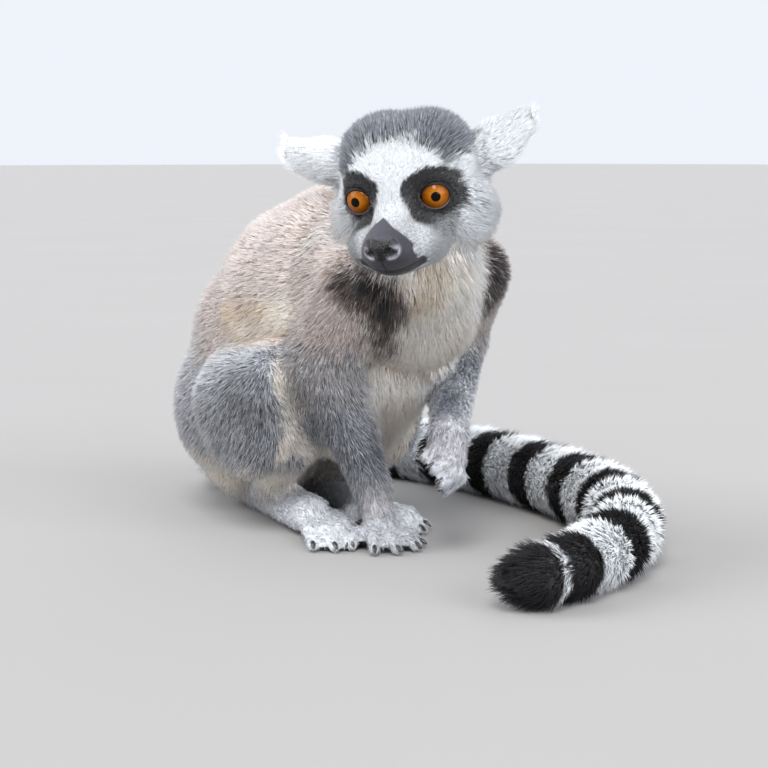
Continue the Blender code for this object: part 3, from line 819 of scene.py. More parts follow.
# %% The face's markings
def muzzle_leather(f, side, u, l, ragged=0.0):
    """A wedge of bare leather from the bridge down over both lips, and a strip back along the mouth."""
    slope_of_edge = 0.5 * np.minimum(1.36 * (-1.5 - u), 1.6 - 0.66 * u) + 0.81 * (-3.3 - u)
    half_width = np.maximum(slope_of_edge, 1.5 * smooth(-u, 2.6, 4.4) - 0.4)
    half_width = half_width / (1 + (np.maximum(half_width, 0) / 13.2) ** 4) ** 0.25
    mouth = u - mouth_height(f, l)
    wedge = smooth(half_width - side + ragged, -0.6, 0.8) * smooth(f, 19, 21.5)
    strip = 0.7 + 2.2 * smooth(f, 15, 25)
    lips = smooth(strip - np.abs(mouth) + ragged, -0.5, 0.7) * smooth(f, 13.5, 17) * smooth(-side, -16.8, -14.0)
    lowest = -1.2 - 3.8 * smooth(f, 17, 28)
    return np.maximum(wedge, lips) * smooth(mouth - lowest, -0.8, 0.8)


def face_markings(mix, q, n, part, blur, fine):
    """The markings of head and ears, laid over those of the body."""
    f, l, u = q.T
    side = np.abs(l)
    face = part["head"]
    paint_over(mix, "white", np.clip(face + part["ear"], 0, 1))
    ruff = smooth(side, 20, 27) * smooth(-side, -46, -36) * smooth(-u, -4, 4) * smooth(f, -44, -32)
    paint_over(mix, "white", part["neck"] * ruff * smooth(-n[:, 2], -0.7, -0.4))
    # the grey cap comes down beside the white brow and behind the eyes
    cap_edge = brow_line(l, 24.0) - 0.1 * np.maximum(side - 17, 0) ** 2
    cap_edge = np.maximum(cap_edge, 9.0 + 4.0 * smooth(l, 0, 10) + 3.0 * smooth(-f, 12, 30))
    cap_edge = cap_edge - 22.0 * smooth(-f, 40, 56) + 1.1 * fine
    cap = smooth(u - cap_edge, -1.5, 2.5)
    paint_over(mix, "cap", face * cap)
    paint_over(mix, "grey", part["neck"] * smooth(-f, 30, 40) * smooth(u - cap_edge, -4, 4) * 0.8)
    # grey streaks on the cheeks
    streak = smooth(np.sin(l * 0.9 + u * 0.35 + 2.0 * blur) + 0.5 * fine, 0.7, 1.3)
    paint_over(mix, "cap", face * streak * smooth(side, 20, 26) * smooth(-np.abs(u - 3), -16, -6) * 0.5)
    paint_over(mix, "grey", face * streak * smooth(side, 19, 25) * smooth(-u, 4, 12) * 0.35)
    # a black spot at the left ear's opening, painted as the shade in the hole
    ear_opening_shade = ((q - (-27.0, 30.0, 2.0)) ** 2).sum(1) ** 0.5
    paint_over(mix, "black", face * smooth(-ear_opening_shade + fine, -4.5, -2.0) * (l > 0) * 0.8)
    # black patches round the eyes, drawn up and out at the brow and in towards the nose
    away = side + 1.3 * np.sign(l) * smooth(-np.abs(f - 12), -12, -4)
    patch = ((away - 16.8) / 11.4) ** 2 + ((u + 1.5) / 11.0) ** 2
    brow = ((away - 17.0) / 10.0) ** 2 + ((u - 5.2) / 7.6) ** 2
    inner = ((away - 9.4) / 4.4) ** 2 + ((u - 3.6 + 0.3 * (away - 9.4)) / 5.4) ** 2
    below = ((away - 17.5) / 7.0) ** 2 + ((u + 12.0) / 6.5) ** 2
    eye = np.minimum(np.minimum(np.minimum(patch, brow), inner), below) + 0.08 * fine
    black = smooth(-eye, -1.18, -0.84) * smooth(f, -17, -10) * smooth(-f, -19, -15)
    fading = 1 - 0.75 * smooth(-u + 0.35 * (away - 17), 8, 17) - 0.5 * smooth(-away, -9.5, -6) * smooth(-u, -2, 3)
    paint_over(mix, "black", face * black * np.clip(fading, 0, 1))
    paint_over(mix, "grey", face * black * np.clip(1 - fading, 0, 1) * 0.6)
    # slate muzzle, with grey climbing the bridge
    bridge = smooth(f, 12, 20) * smooth(-side, -8, -3) * smooth(u, -12, -4)
    paint_over(mix, "grey", face * bridge * 0.25)
    paint_over(mix, "slate", face * muzzle_leather(f, np.abs(l - LIP_MIDDLE), u, l, 0.6 * fine))
    # ears: white, with grey streaks painted in the hollow as shade
    paint_over(mix, "white", part["ear"])
    ear_hollow_shade = smooth(n @ HEAD_NP[:, 0], 0.2, 0.8) * smooth(-side, -54, -44) * smooth(-u, -14, -4)
    tabby = smooth(np.sin(u * 0.8 + side * 0.5) + 0.6 * fine, 0.3, 1.0)
    paint_over(mix, "grey", part["ear"] * ear_hollow_shade * tabby * 0.4)
    return mix


# %% Bare skin
PALM_FACES = np.array((-0.80, 0.45, -0.39))        # the way in which the raised hand's palm looks


def bare_leather(p, n, share):
    """Where no fur grows: nose, lips, palms and soles."""
    q = head_coords(p)
    f, l, u = q.T
    bare = share["head"] * smooth(muzzle_leather(f, np.abs(l - LIP_MIDDLE), u, l), 0.35, 0.9)
    paws = share_of(share, "hand", "foot")
    bare = np.maximum(bare, (paws - share["hand_left"]) * smooth(-n[:, 2], 0.45, 0.7) * smooth(-p[:, 2], -10, -6))
    palm = share["hand_left"] * smooth(n @ PALM_FACES, 0.45, 0.7)
    return np.maximum(bare, palm)

# %% [markdown]
# ## Materials of skin and fur
# Fur takes its colour from the tufts themselves: each point of the mesh keeps a colour, dark at the root and
# pale at the tip, and the shader only adds sheen and a little variation along the strands. The skin wears
# the same markings, darker, with a fine streaky bump for the short hair that lies flat on it.

# %% Shader helpers
def new_material(name, rough, sheen=0.0, specular=0.5):
    """A material with a Principled shader, its constant values set on the sockets themselves."""
    material = bpy.data.materials.new(name)
    material.use_nodes = True
    tree = material.node_tree
    shader = tree.nodes["Principled BSDF"]
    shader.inputs["Roughness"].default_value = rough
    shader.inputs["Sheen Weight"].default_value = sheen
    shader.inputs["Sheen Roughness"].default_value = 0.45
    shader.inputs["Specular IOR Level"].default_value = specular
    return material, tree, shader


def node(tree, sort, **values):
    """A new shader node, with values for its sockets or settings."""
    made = tree.nodes.new(sort)
    for key, value in values.items():
        if key in made.inputs:
            made.inputs[key].default_value = value
        else:
            setattr(made, key, value)
    return made


def noise(tree, scale, detail=2.0, rough=0.5, stretch=None):
    """Noise in the object's own metres, drawn out by stretch if that is given."""
    place = node(tree, "ShaderNodeTexCoord")
    out = node(tree, "ShaderNodeTexNoise", Scale=scale, Detail=detail, Roughness=rough)
    if stretch:
        mapping = node(tree, "ShaderNodeMapping")
        mapping.inputs["Scale"].default_value = stretch
        tree.links.new(place.outputs["Object"], mapping.inputs["Vector"])
        tree.links.new(mapping.outputs["Vector"], out.inputs["Vector"])
    else:
        tree.links.new(place.outputs["Object"], out.inputs["Vector"])
    return out


def colour_times(tree, colour, factor, low, high):
    """A colour socket made darker or lighter by a factor socket that runs from 0 to 1."""
    span = node(tree, "ShaderNodeMapRange")
    span.inputs["To Min"].default_value = low
    span.inputs["To Max"].default_value = high
    tree.links.new(factor, span.inputs["Value"])
    grey = node(tree, "ShaderNodeCombineColor")
    for channel in ("Red", "Green", "Blue"):
        tree.links.new(span.outputs["Result"], grey.inputs[channel])
    mix = node(tree, "ShaderNodeMix", data_type="RGBA", blend_type="MULTIPLY")
    mix.inputs[0].default_value = 1.0
    tree.links.new(colour, mix.inputs[6])
    tree.links.new(grey.outputs["Color"], mix.inputs[7])
    return mix.outputs[2]


def tint_by(tree, shader, attribute, grain, low, high):
    """Give a shader a stored colour, made darker and lighter by a noise."""
    tint = node(tree, "ShaderNodeAttribute", attribute_name=attribute)
    shade = colour_times(tree, tint.outputs["Color"], grain.outputs["Fac"], low, high)
    tree.links.new(shade, shader.inputs["Base Color"])


def two_tones(tree, shader, grain, dark, light):
    """Give a shader the colours between two, by a noise."""
    ramp = node(tree, "ShaderNodeValToRGB")
    for stop, colour in zip(ramp.color_ramp.elements, (dark, light)):
        stop.color = (*colour, 1)
    tree.links.new(grain.outputs["Fac"], ramp.inputs["Fac"])
    tree.links.new(ramp.outputs["Color"], shader.inputs["Base Color"])


def add_bump(tree, shader, height, strength, distance):
    """Dent a shader's surface by a height socket, as deep in metres as distance says."""
    bump = node(tree, "ShaderNodeBump", Strength=strength, Distance=distance)
    tree.links.new(height, bump.inputs["Height"])
    tree.links.new(bump.outputs["Normal"], shader.inputs["Normal"])


# %% Fur and skin
def fur_material():
    """The tufts' own colours, a little lighter and darker along the strands, with a faint sheen."""
    material, tree, shader = new_material("lemur_fur", 0.62, sheen=0.10, specular=0.3)
    tint_by(tree, shader, "fur", noise(tree, 900.0, 3.0, 0.6), 0.8, 1.2)
    return material


def skin_material():
    """Streaky like flat short hair where it is furred, pebbled and glossy where it is bare."""
    material, tree, shader = new_material("lemur_skin", 0.7, sheen=0.05, specular=0.35)
    bare = node(tree, "ShaderNodeAttribute", attribute_name="bare")
    hairs = noise(tree, 700.0, 4.0, 0.65, (1.0, 1.0, 0.35))
    pebbles = node(tree, "ShaderNodeTexVoronoi", Scale=1500.0)
    place = node(tree, "ShaderNodeTexCoord")
    tree.links.new(place.outputs["Object"], pebbles.inputs["Vector"])
    tint_by(tree, shader, "fur", hairs, 0.62, 1.3)
    height = node(tree, "ShaderNodeMix", data_type="FLOAT")
    tree.links.new(bare.outputs["Fac"], height.inputs[0])
    tree.links.new(hairs.outputs["Fac"], height.inputs[2])
    tree.links.new(pebbles.outputs["Distance"], height.inputs[3])
    add_bump(tree, shader, height.outputs[0], 0.55, 0.0006)
    gloss = node(tree, "ShaderNodeMapRange")
    gloss.inputs["To Min"].default_value = 0.78
    gloss.inputs["To Max"].default_value = 0.24
    tree.links.new(bare.outputs["Fac"], gloss.inputs["Value"])
    tree.links.new(gloss.outputs["Result"], shader.inputs["Roughness"])
    return material


FUR_MATERIAL, SKIN_MATERIAL = fur_material(), skin_material()
print("materials:", FUR_MATERIAL.name, SKIN_MATERIAL.name)

# %% [markdown]
# ## The skin's own colours
# Under the fur, the skin wears the coat's colours. Where no fur grows it is leather: a wet black nose pad
# with nostrils painted near black as shade and pale rims painted round them as a highlight, slate lips and
# muzzle painted lighter on top as light from above, dark palms. The colours are kept at the vertices, together
# with a value that says how bare a place is, from which the shader takes gloss and pebbled grain.

# %% Colour the skin
def store_colours(mesh, name, colours):
    """Keep one colour at each vertex, under a name that a shader can read."""
    layer = mesh.color_attributes.new(name, "FLOAT_COLOR", "POINT")
    full = np.ones((len(mesh.vertices), 4), np.float32)
    full[:, :3] = colours
    layer.data.foreach_set("color", full.ravel())


def store_values(mesh, name, values):
    """Keep one number at each vertex."""
    layer = mesh.attributes.new(name, "FLOAT", "POINT")
    layer.data.foreach_set("value", values.astype(np.float32))


skin_at = to_body(coords_of(skin.data))
skin_normal = coords_of(skin.data, "normal")
skin_share = part_shares(skin_at, GROUPS)[0]
skin_mix = markings(skin_at, skin_normal, skin_share)
skin_bare = bare_leather(skin_at, skin_normal, skin_share)
NOSE, RIM_HIGHLIGHT, MUZZLE, PALM = rgb(7, 7, 8), rgb(150, 148, 158), rgb(43, 42, 49), rgb(44, 40, 44)
skin_colour = skin_mix @ mixed(ROOTS, TIPS, 0.55) * short_fur_shade(skin_at, skin_share)[:, None]
on_head = skin_share["head"][:, None]
pad = smooth(-NOSE_PAD.distance(skin_at), -0.95, -0.45)[:, None]
hf, hl, hu = head_coords(skin_at).T
nose_side = np.abs(hl - NOSE_MIDDLE)
from_nostril = np.hypot(nose_side - 4.8, hu + 14.8)
# painted highlight: pale arcs on the outer lower rims of the nostrils, where the raised leather catches light
rim_highlight = (np.exp(-(from_nostril - 3.4) ** 2 / 0.35) * smooth((nose_side - 4.8) - 0.8 * (hu + 14.8), 0.3, 1.8)
        * smooth(hf, 31, 34))[:, None] * 0.85
# painted light: the muzzle's leather is lighter towards its top, as lit from above
upper = smooth(hu, -13, -5)[:, None]
chin = smooth(mouth_height(hf, hl) - hu, -0.5, 1.0)[:, None] * 0.35
leather = mixed(mixed(MUZZLE * (1 + 0.7 * upper), NOSE, pad), RIM_HIGHLIGHT, rim_highlight)
# painted shade: the nostrils' insides are coloured near black, and made matt
hole = smooth(nostrils(hf, nose_side, hu), 0.2, 0.6)
leather = leather * (1 - chin) * (1 - 0.95 * hole[:, None])
skin_colour = mixed(skin_colour, mixed(PALM, leather, on_head), skin_bare[:, None])
skin_bare = skin_bare * (0.6 + 0.4 * pad[:, 0] * on_head[:, 0])
skin_bare = skin_bare * (1 - 0.9 * on_head[:, 0] * hole)
store_colours(skin.data, "fur", skin_colour)
store_values(skin.data, "bare", skin_bare)
skin.data.materials.clear()
skin.data.materials.append(SKIN_MATERIAL)
print("skin coloured in", round(time.time() - started, 1), "s")

# %% [markdown]
# ## Eyes
# A lemur's eye is a shallow dome of clear cornea over a bright orange iris, with a round pupil and a dark
# rim. One turned surface carries it all: its rings are named by their angle from the line of sight, so pupil,
# iris streaks and rim are rules on that angle.

# %% Eyeballs
PUPIL, IRIS_EDGE, WHITE_EDGE = 0.25, 0.82, 0.92          # angles from the line of sight


def around_gaze(s, theta, phi, radius):
    """Body points at an angle theta from the line of sight, phi round it (0 outward, 90 degrees up)."""
    gaze, up = GAZE_LOCAL[s], np.array((0.0, 0.0, 1.0))
    out = np.cross(up, gaze) * s
    theta, phi, radius = np.broadcast_arrays(theta, phi, radius)
    local = (gaze * np.cos(theta)[..., None]
             + (out * np.cos(phi)[..., None] + up * np.sin(phi)[..., None]) * np.sin(theta)[..., None])
    local = local * radius[..., None] + EYE_LOCAL[s]
    return np.array(HEAD_AT) + local @ HEAD_NP.T


def grid_faces(rows, columns):
    """Quads between rows of points, each of which is a closed ring."""
    faces = []
    for i in range(rows - 1):
        for j in range(columns):
            k = (j + 1) % columns
            faces.append((i * columns + j, i * columns + k, (i + 1) * columns + k, (i + 1) * columns + j))
    return faces


def iris_colour(theta, phi):
    """Pupil, streaky iris with a painted shadow of the upper lid on its top, dark rim and brown white of the eye, by
    the angle from the line of sight.
    """
    streaks = 0.5 + 0.5 * np.sin(phi * 37 + 3 * np.sin(phi * 11) + theta * 9) * np.sin(phi * 61 + 2)
    inner, outer = rgb(162, 95, 8), rgb(98, 45, 4)
    t = np.clip((theta - PUPIL) / (IRIS_EDGE - PUPIL), 0, 1)
    # painted shadow of the upper lid: the iris is darker towards its top
    painted_lid_shadow = smooth(np.sin(phi), 0.2, 1.0) * t
    colour = mixed(inner, outer, t[:, None]) * (0.74 + 0.36 * streaks)[:, None] * (1 - 0.28 * painted_lid_shadow)[:, None]
    dark = np.maximum(smooth(-theta, -PUPIL - 0.03, -PUPIL + 0.01), smooth(theta, IRIS_EDGE - 0.05, IRIS_EDGE + 0.04))
    colour = mixed(colour, rgb(3, 2, 3), dark[:, None])
    beyond = smooth(theta, WHITE_EDGE, WHITE_EDGE + 0.1)[:, None]
    return mixed(colour, rgb(52, 36, 30), beyond)


def eyeball(side, s):
    """A ball with a dome over the iris, in fine rings near the line of sight and coarse ones behind."""
    theta = np.concatenate([np.linspace(0.004, 1.1, 70), np.linspace(1.15, math.pi - 0.004, 22)])
    phi = np.linspace(0, 2 * math.pi, 160, endpoint=False)
    T, P = np.meshgrid(theta, phi, indexing="ij")
    radius = EYE_RADIUS * (1 + 0.055 * np.exp(-(T / 0.5) ** 2))
    points = around_gaze(s, T, P, radius).reshape(-1, 3)
    faces = grid_faces(len(theta), len(phi))
    faces += [list(range(len(phi)))[::-1], list(range(len(points) - len(phi), len(points)))]
    if s < 0:
        faces = [f[::-1] for f in faces]
    obj = mesh_from(f"eyeball_{side}", points, faces)
    store_colours(obj.data, "iris", iris_colour(T.ravel(), P.ravel()))
    dress(obj, EYE_MATERIAL)
    return obj


def eye_material():
    """The colours of the iris under a thin clear coat, which gives the wet highlight."""
    material, tree, shader = new_material("wet_eye", 0.05, specular=0.05)
    tint_by(tree, shader, "iris", noise(tree, 2600.0, 2.0), 0.8, 1.2)
    shader.inputs["Coat Weight"].default_value = 0.25
    shader.inputs["Coat Roughness"].default_value = 0.02
    shader.inputs["Coat IOR"].default_value = 1.38
    return material


EYE_MATERIAL = eye_material()
eyes = {side: eyeball(side, s) for side, s in SIDES}
print("eyeballs:", [len(e.data.polygons) for e in eyes.values()], "faces each")

# %% [markdown]
# ## Lids
# The lids of a lemur are thin dark leather. Each pair is one closed ring that hides the gap between the ball
# and its pit: an inner rim on the ball, a rounded edge, and a skirt that dips under the skin.

# %% Lids
LID_COLUMNS = 96
LID_ROWS = ((0.00, 0.10), (-0.02, 0.34), (0.03, 0.50), (0.12, 0.50),     # angle past the opening, height on the ball
            (0.30, 0.40), (0.52, 0.22), (0.52, 0.06), (0.25, 0.04))


def lids(side, s):
    """A closed ring over the ball's edge: the lids' inner rim, their thickness, and a skirt under the skin."""
    phi = np.linspace(0, 2 * math.pi, LID_COLUMNS, endpoint=False)
    opening = 0.86 - 0.19 * np.clip(np.sin(phi), 0, 1) ** 1.4 - 0.17 * np.clip(-np.sin(phi), 0, 1) ** 1.4
    opening = opening + 0.07 * np.exp(-((np.abs(phi - math.pi)) / 0.28) ** 2)      # the inner corner
    points, shade = [], []
    for extra, height in LID_ROWS:
        points.append(around_gaze(s, opening + extra, phi, EYE_RADIUS + height))
        rim = 0.6 * smooth(-abs(extra - 0.01), -0.035, -0.02) * smooth(-np.sin(phi), 0.1, 0.7)
        shade.append(mixed(rgb(14, 13, 15), rgb(132, 116, 116), rim[:, None]))
    faces = grid_faces(len(LID_ROWS), LID_COLUMNS)
    last = (len(LID_ROWS) - 1) * LID_COLUMNS
    faces += [(last + j, last + (j + 1) % LID_COLUMNS, (j + 1) % LID_COLUMNS, j) for j in range(LID_COLUMNS)]
    if s > 0:
        faces = [f[::-1] for f in faces]
    obj = mesh_from(f"eyelids_{side}", np.concatenate(points), faces)
    store_colours(obj.data, "lid", np.concatenate(shade))
    dress(obj, LID_MATERIAL)
    return obj


def lid_material():
    """Dark leather with a fine grain."""
    material, tree, shader = new_material("dark_lid_leather", 0.62, specular=0.25)
    grain = noise(tree, 1800.0, 3.0)
    tint_by(tree, shader, "lid", grain, 0.7, 1.3)
    add_bump(tree, shader, grain.outputs["Fac"], 0.4, 0.0003)
    return material


LID_MATERIAL = lid_material()
eyelids = {side: lids(side, s) for side, s in SIDES}
print("lids:", [len(o.data.polygons) for o in eyelids.values()], "faces each")

# %% [markdown]
# ## Nails
# A lemur has flat nails, as we have, on nearly all of its digits. Each is a little curved plate, narrower
# at its front, that sits on the last joint of its digit. A nail cut from a sphere would do too; rings of
# points are used, as they follow the digit's own direction. All nails are one mesh.

# %% Nails on fingers and toes
def nail(tip, root, length, width):
    """A half-egg plate that starts on the last joint and reaches past the digit's end."""
    tip, root = np.array(tip, float), np.array(root, float)
    way = tip - root
    way[2] = min(way[2], 0) * 0.4
    way /= np.linalg.norm(way)
    up = np.array((0.0, 0.0, 1.0))
    side = np.cross(up, way)
    side /= np.linalg.norm(side)
    up = np.cross(way, side)
    rows, columns = 7, 12
    points = []
    for i in range(rows):
        t = i / (rows - 1)
        wide = width * (0.55 + 0.45 * math.sin(math.pi * min(0.9, 0.25 + 0.6 * t))) * (1 - 0.72 * t**3)
        middle = tip + way * (0.6 + length * (t - 0.2)) + up * (2.55 - 1.7 * t**1.6)
        for k in range(columns):
            a = 2 * math.pi * k / columns
            points.append(middle + side * (math.cos(a) * wide / 2)
                          + up * (math.sin(a) * (0.62 if math.sin(a) > 0 else 0.25) - 0.55 * math.cos(a) ** 2))
    root_end, tip_end = tuple(range(columns))[::-1], tuple(range((rows - 1) * columns, rows * columns))
    return points, grid_faces(rows, columns) + [root_end, tip_end]


def joined_nails():
    """All nails as one mesh, in length and width as fingers and toes have them."""
    points, faces = [], []
    finger, toe = (4.6, 2.5), (5.0, 2.8)
    for name, (roots, tips) in DIGITS.items():
        for root, tip in zip(roots, tips):
            size = toe if kind(name) == "foot" else finger
            made, its_faces = nail(tip, root, *size)
            faces += [tuple(i + len(points) for i in f) for f in its_faces]
            points += made
    points = np.array(points)
    points[:, 2] = np.maximum(points[:, 2], 0.4)
    return mesh_from("nails", points, faces)


def nail_material():
    """Dark horn with fine grooves."""
    material, tree, shader = new_material("dark_horn", 0.30, specular=0.5)
    grooves = noise(tree, 1400.0, 3.0)
    two_tones(tree, shader, grooves, (0.006, 0.006, 0.007), (0.055, 0.05, 0.05))
    add_bump(tree, shader, grooves.outputs["Fac"], 0.2, 0.0002)
    return material


nails = joined_nails()
dress(nails, nail_material())
print("nails:", len(nails.data.polygons), "faces")

# %% [markdown]
# ## An unwrap of the skin
# Each tuft takes a tiny patch of a map, at the place where its root stands on the unwrapped skin,
# so that neighbours on the body are neighbours on the map too.

# %% Unwrap the skin
def unwrap(obj):
    """Give an object the map OFBake, unwrapped by the direction that its faces look in."""
    obj.data.uv_layers.new(name="OFBake")
    bpy.context.view_layer.objects.active = obj
    for other in bpy.context.selected_objects:
        other.select_set(False)
    obj.select_set(True)
    bpy.ops.object.mode_set(mode="EDIT")
    bpy.ops.mesh.select_all(action="SELECT")
    bpy.ops.uv.smart_project(angle_limit=math.radians(66), island_margin=0.002)
    bpy.ops.object.mode_set(mode="OBJECT")
    obj.select_set(False)


unwrap(skin)
print("skin unwrapped in", round(time.time() - started, 1), "s")

# %% [markdown]
# ## Fur
# A tuft is a thin closed spike: three points at the root, one at the tip. Tufts are sown by area, lean
# the way the coat lies, and gather in small locks, as wool does, by leaning towards a leader close by.
# Each takes one colour of the markings by lot, so that edges between colours are made of mixed hairs
# and never look painted.

# %% Sow the roots
class Surface:
    """The skin as arrays: triangles, their area in square mm, and what grows at each vertex."""

    def __init__(self, obj):
        mesh = obj.data
        mesh.calc_loop_triangles()
        self.tri, self.loops = (numbers(mesh.loop_triangles, what, 3, np.int32) for what in ("vertices", "loops"))
        self.at, self.normal = to_body(coords_of(mesh)), coords_of(mesh, "normal")
        self.uv = numbers(mesh.uv_layers["OFBake"].data, "uv", 2)
        a, b, c = (self.at[self.tri[:, k]] for k in range(3))
        self.area = 0.5 * np.linalg.norm(np.cross(b - a, c - a), axis=1)


def blend_at(values, corners, weight):
    """Values between the three corners of triangles."""
    return (values[corners] * weight[:, :, None]).sum(1)


def sow(surface, cover, count, rng):
    """Random roots, as many per area as cover says at the vertices."""
    chance = surface.area * cover[surface.tri].mean(1)
    run = np.cumsum(chance)
    pick = np.searchsorted(run, rng.uniform(0, run[-1], count))
    r1, r2 = np.sqrt(rng.uniform(size=count)), rng.uniform(size=count)
    weight = np.stack([1 - r1, r1 * (1 - r2), r1 * r2], axis=1)
    corners = surface.tri[pick]
    normal = blend_at(surface.normal, corners, weight)
    normal /= np.linalg.norm(normal, axis=1)[:, None]
    return {"at": blend_at(surface.at, corners, weight), "normal": normal,
            "uv": blend_at(surface.uv, surface.loops[pick], weight), "area": run[-1]}


surface = Surface(skin)
print("skin area, square cm:", round(surface.area.sum() / 100), "triangles:", len(surface.tri))

# %% [markdown]
# ## The lie of the coat
# Hair on an animal doesn't stand at random. It is swept from nose to tail and from shoulder to paw, hangs
# on the chest and fans out at the cheeks. A hair system could be combed by hand to show this. Here each
# tuft asks the masses near it which way their fur runs, so the same coat grows each time.

# %% The way each tuft lies
def unit(v):
    """Directions of length one."""
    return v / (np.linalg.norm(v, axis=1)[:, None] + 1e-12)


def way_of_fur(p, n, share, lie):
    """Along the body, back from the nose on the face, down on the chest; in the skin's own plane."""
    q = head_coords(p)
    way = unit(lie)
    from_nose = unit(q - (38.0, 0.0, -12.0)) @ HEAD_NP.T
    face = (share["head"] * smooth(q[:, 0], -34, -16))[:, None]
    way = mixed(way, from_nose, face)
    front = ((share["trunk"] + share["neck"]) * smooth(-n[:, 1], 0.1, 0.6))[:, None]
    way = mixed(way, np.array((0.0, -0.05, -1.0)), front)
    cheek = (share["head"] * smooth(np.abs(q[:, 1]), 18, 28) * smooth(-q[:, 2], -6, 6))[:, None]
    outward = (np.sign(q[:, 1])[:, None] * HEAD_NP[:, 1] * 0.8 - HEAD_NP[:, 2] * 0.9 - HEAD_NP[:, 0] * 0.25)
    way = mixed(way, outward, 0.6 * cheek)
    sway = np.stack([wander(p, 13, 21), wander(p, 13, 22), wander(p, 13, 23)], axis=1)
    way = unit(way) + 0.22 * sway
    flat = way - (way * n).sum(1)[:, None] * n
    return unit(flat)


# %% Size and stand of the tufts
SIZES = {                       # length, width and lean from the skin: mm, mm, degrees
    "ear": (6.2, 0.34, 14), "head": (4.8, 0.34, 30), "neck": (6.8, 0.50, 32), "hand": (3.3, 0.32, 20),
    "foot": (3.6, 0.33, 20), "upper": (5.0, 0.42, 38), "forearm": (4.4, 0.38, 30), "thigh": (5.0, 0.42, 38),
    "shank": (5.0, 0.42, 32), "trunk": (5.4, 0.43, 38), "tail": (9.2, 0.70, 30),
}


def tuft_sizes(p, n, share):
    """Length, width and lean of the tuft at each root: velvet on the face, long on ruff, chest and ear rims."""
    length, width, lean = (sum(share[name] * SIZES[kind(name)][k] for name in GROUPS) for k in range(3))
    q = head_coords(p)
    f, l, u = q.T
    side = np.abs(l)
    face = share["head"] * smooth(f, -24, -8) * smooth(brow_line(l, 22.0) - u, -5, 0)
    muzzle = smooth(f - 0.62 * u, 14, 27) * smooth(f, 0, 8) * smooth(-side, -19, -13)
    face_length = 2.8 - 1.4 * muzzle + 1.4 * smooth(side, 14, 20) * smooth(-u, 8, 16)
    face_length = face_length + 2.4 * smooth(side, 22, 32) * smooth(-u, -4, 8)
    near_eye = np.exp(-((side - 16.5) ** 2 + u**2) / 130.0) * smooth(f, -6, 0)
    face_length = face_length - 0.7 * near_eye
    length, width, lean = (mixed(*pair, face) for pair in ((length, face_length), (width, 0.27 - 0.06 * muzzle),
                                                           (lean, 19 - 6 * muzzle)))
    crown = share["head"] * smooth(u, 14, 24) * (1 - face)
    length, lean = length + 1.2 * crown, lean + 16 * crown
    ruff = (share["head"] + share["neck"]) * smooth(side, 22, 32) * smooth(-u, -2, 10) * smooth(f, -45, -30)
    length = length + 3.0 * ruff
    chest = (share["trunk"] + share["neck"]) * smooth(-n[:, 1], 0.2, 0.7)
    length = length + 3.5 * chest
    ear_rim = smooth(-np.abs(n @ HEAD_NP[:, 0]), -0.75, -0.25) * smooth(side, 34, 50)
    length = length + (share["ear_right"] + share["ear_left"]) * 2.6 * ear_rim
    return length, width, np.radians(lean)


print("longest tufts, on the tail, mm:", max(size[0] for size in SIZES.values()))


# %% Build the spikes
def spike_mesh(name, points, colours, uv):
    """Closed four-sided spikes; points, colours and map places come as count x 4 x n."""
    count = len(points)
    mesh = bpy.data.meshes.new(name)
    mesh.vertices.add(count * 4)
    mesh.vertices.foreach_set("co", to_row(points.reshape(-1, 3)).astype(np.float32).ravel())
    corners = np.array((0, 2, 1, 0, 1, 3, 1, 2, 3, 2, 0, 3))
    index = (np.arange(count)[:, None] * 4 + corners).ravel()
    mesh.loops.add(count * 12)
    mesh.loops.foreach_set("vertex_index", index.astype(np.int32))
    mesh.polygons.add(count * 4)
    mesh.polygons.foreach_set("loop_start", np.arange(0, count * 12, 3, dtype=np.int32))
    mesh.update(calc_edges=True)
    store_colours(mesh, "fur", colours.reshape(-1, 3))
    layer = mesh.uv_layers.new(name="OFBake")
    layer.data.foreach_set("uv", uv.reshape(-1, 2)[index].astype(np.float32).ravel())
    obj = new_object(name, mesh)
    mesh.materials.append(FUR_MATERIAL)
    return obj


PATCH = np.array(((-1.5, -1.5), (0.0, -0.6), (1.5, -1.5), (0.0, 1.5))) * 1e-3      # a tuft's place on the map
TUFTS_PER_LOCK, LOCK_PULL, LOCK_REACH = 9, 0.35, 6.0
ROOT_SINK, LOWEST_TIP, LOWEST_ROOT = 0.25, 0.15, 0.05
OWN_COLOUR = 0.65                     # how much of a tuft's colour is one colour of the palette, drawn by lot


def locks(roots, tips):
    """Tips drawn towards those of a leader nearby, so that tufts gather in locks."""
    leaders = np.arange(0, len(roots), TUFTS_PER_LOCK)
    tree = KDTree(len(leaders))
    for i in leaders:
        tree.insert(roots[i], int(i))
    tree.balance()
    near = np.array([tree.find(r)[1] for r in roots])
    toward = tips[near] - tips
    far = np.linalg.norm(toward, axis=1)
    return tips + toward * (LOCK_PULL * np.minimum(1, LOCK_REACH / (far + 1e-6)))[:, None]


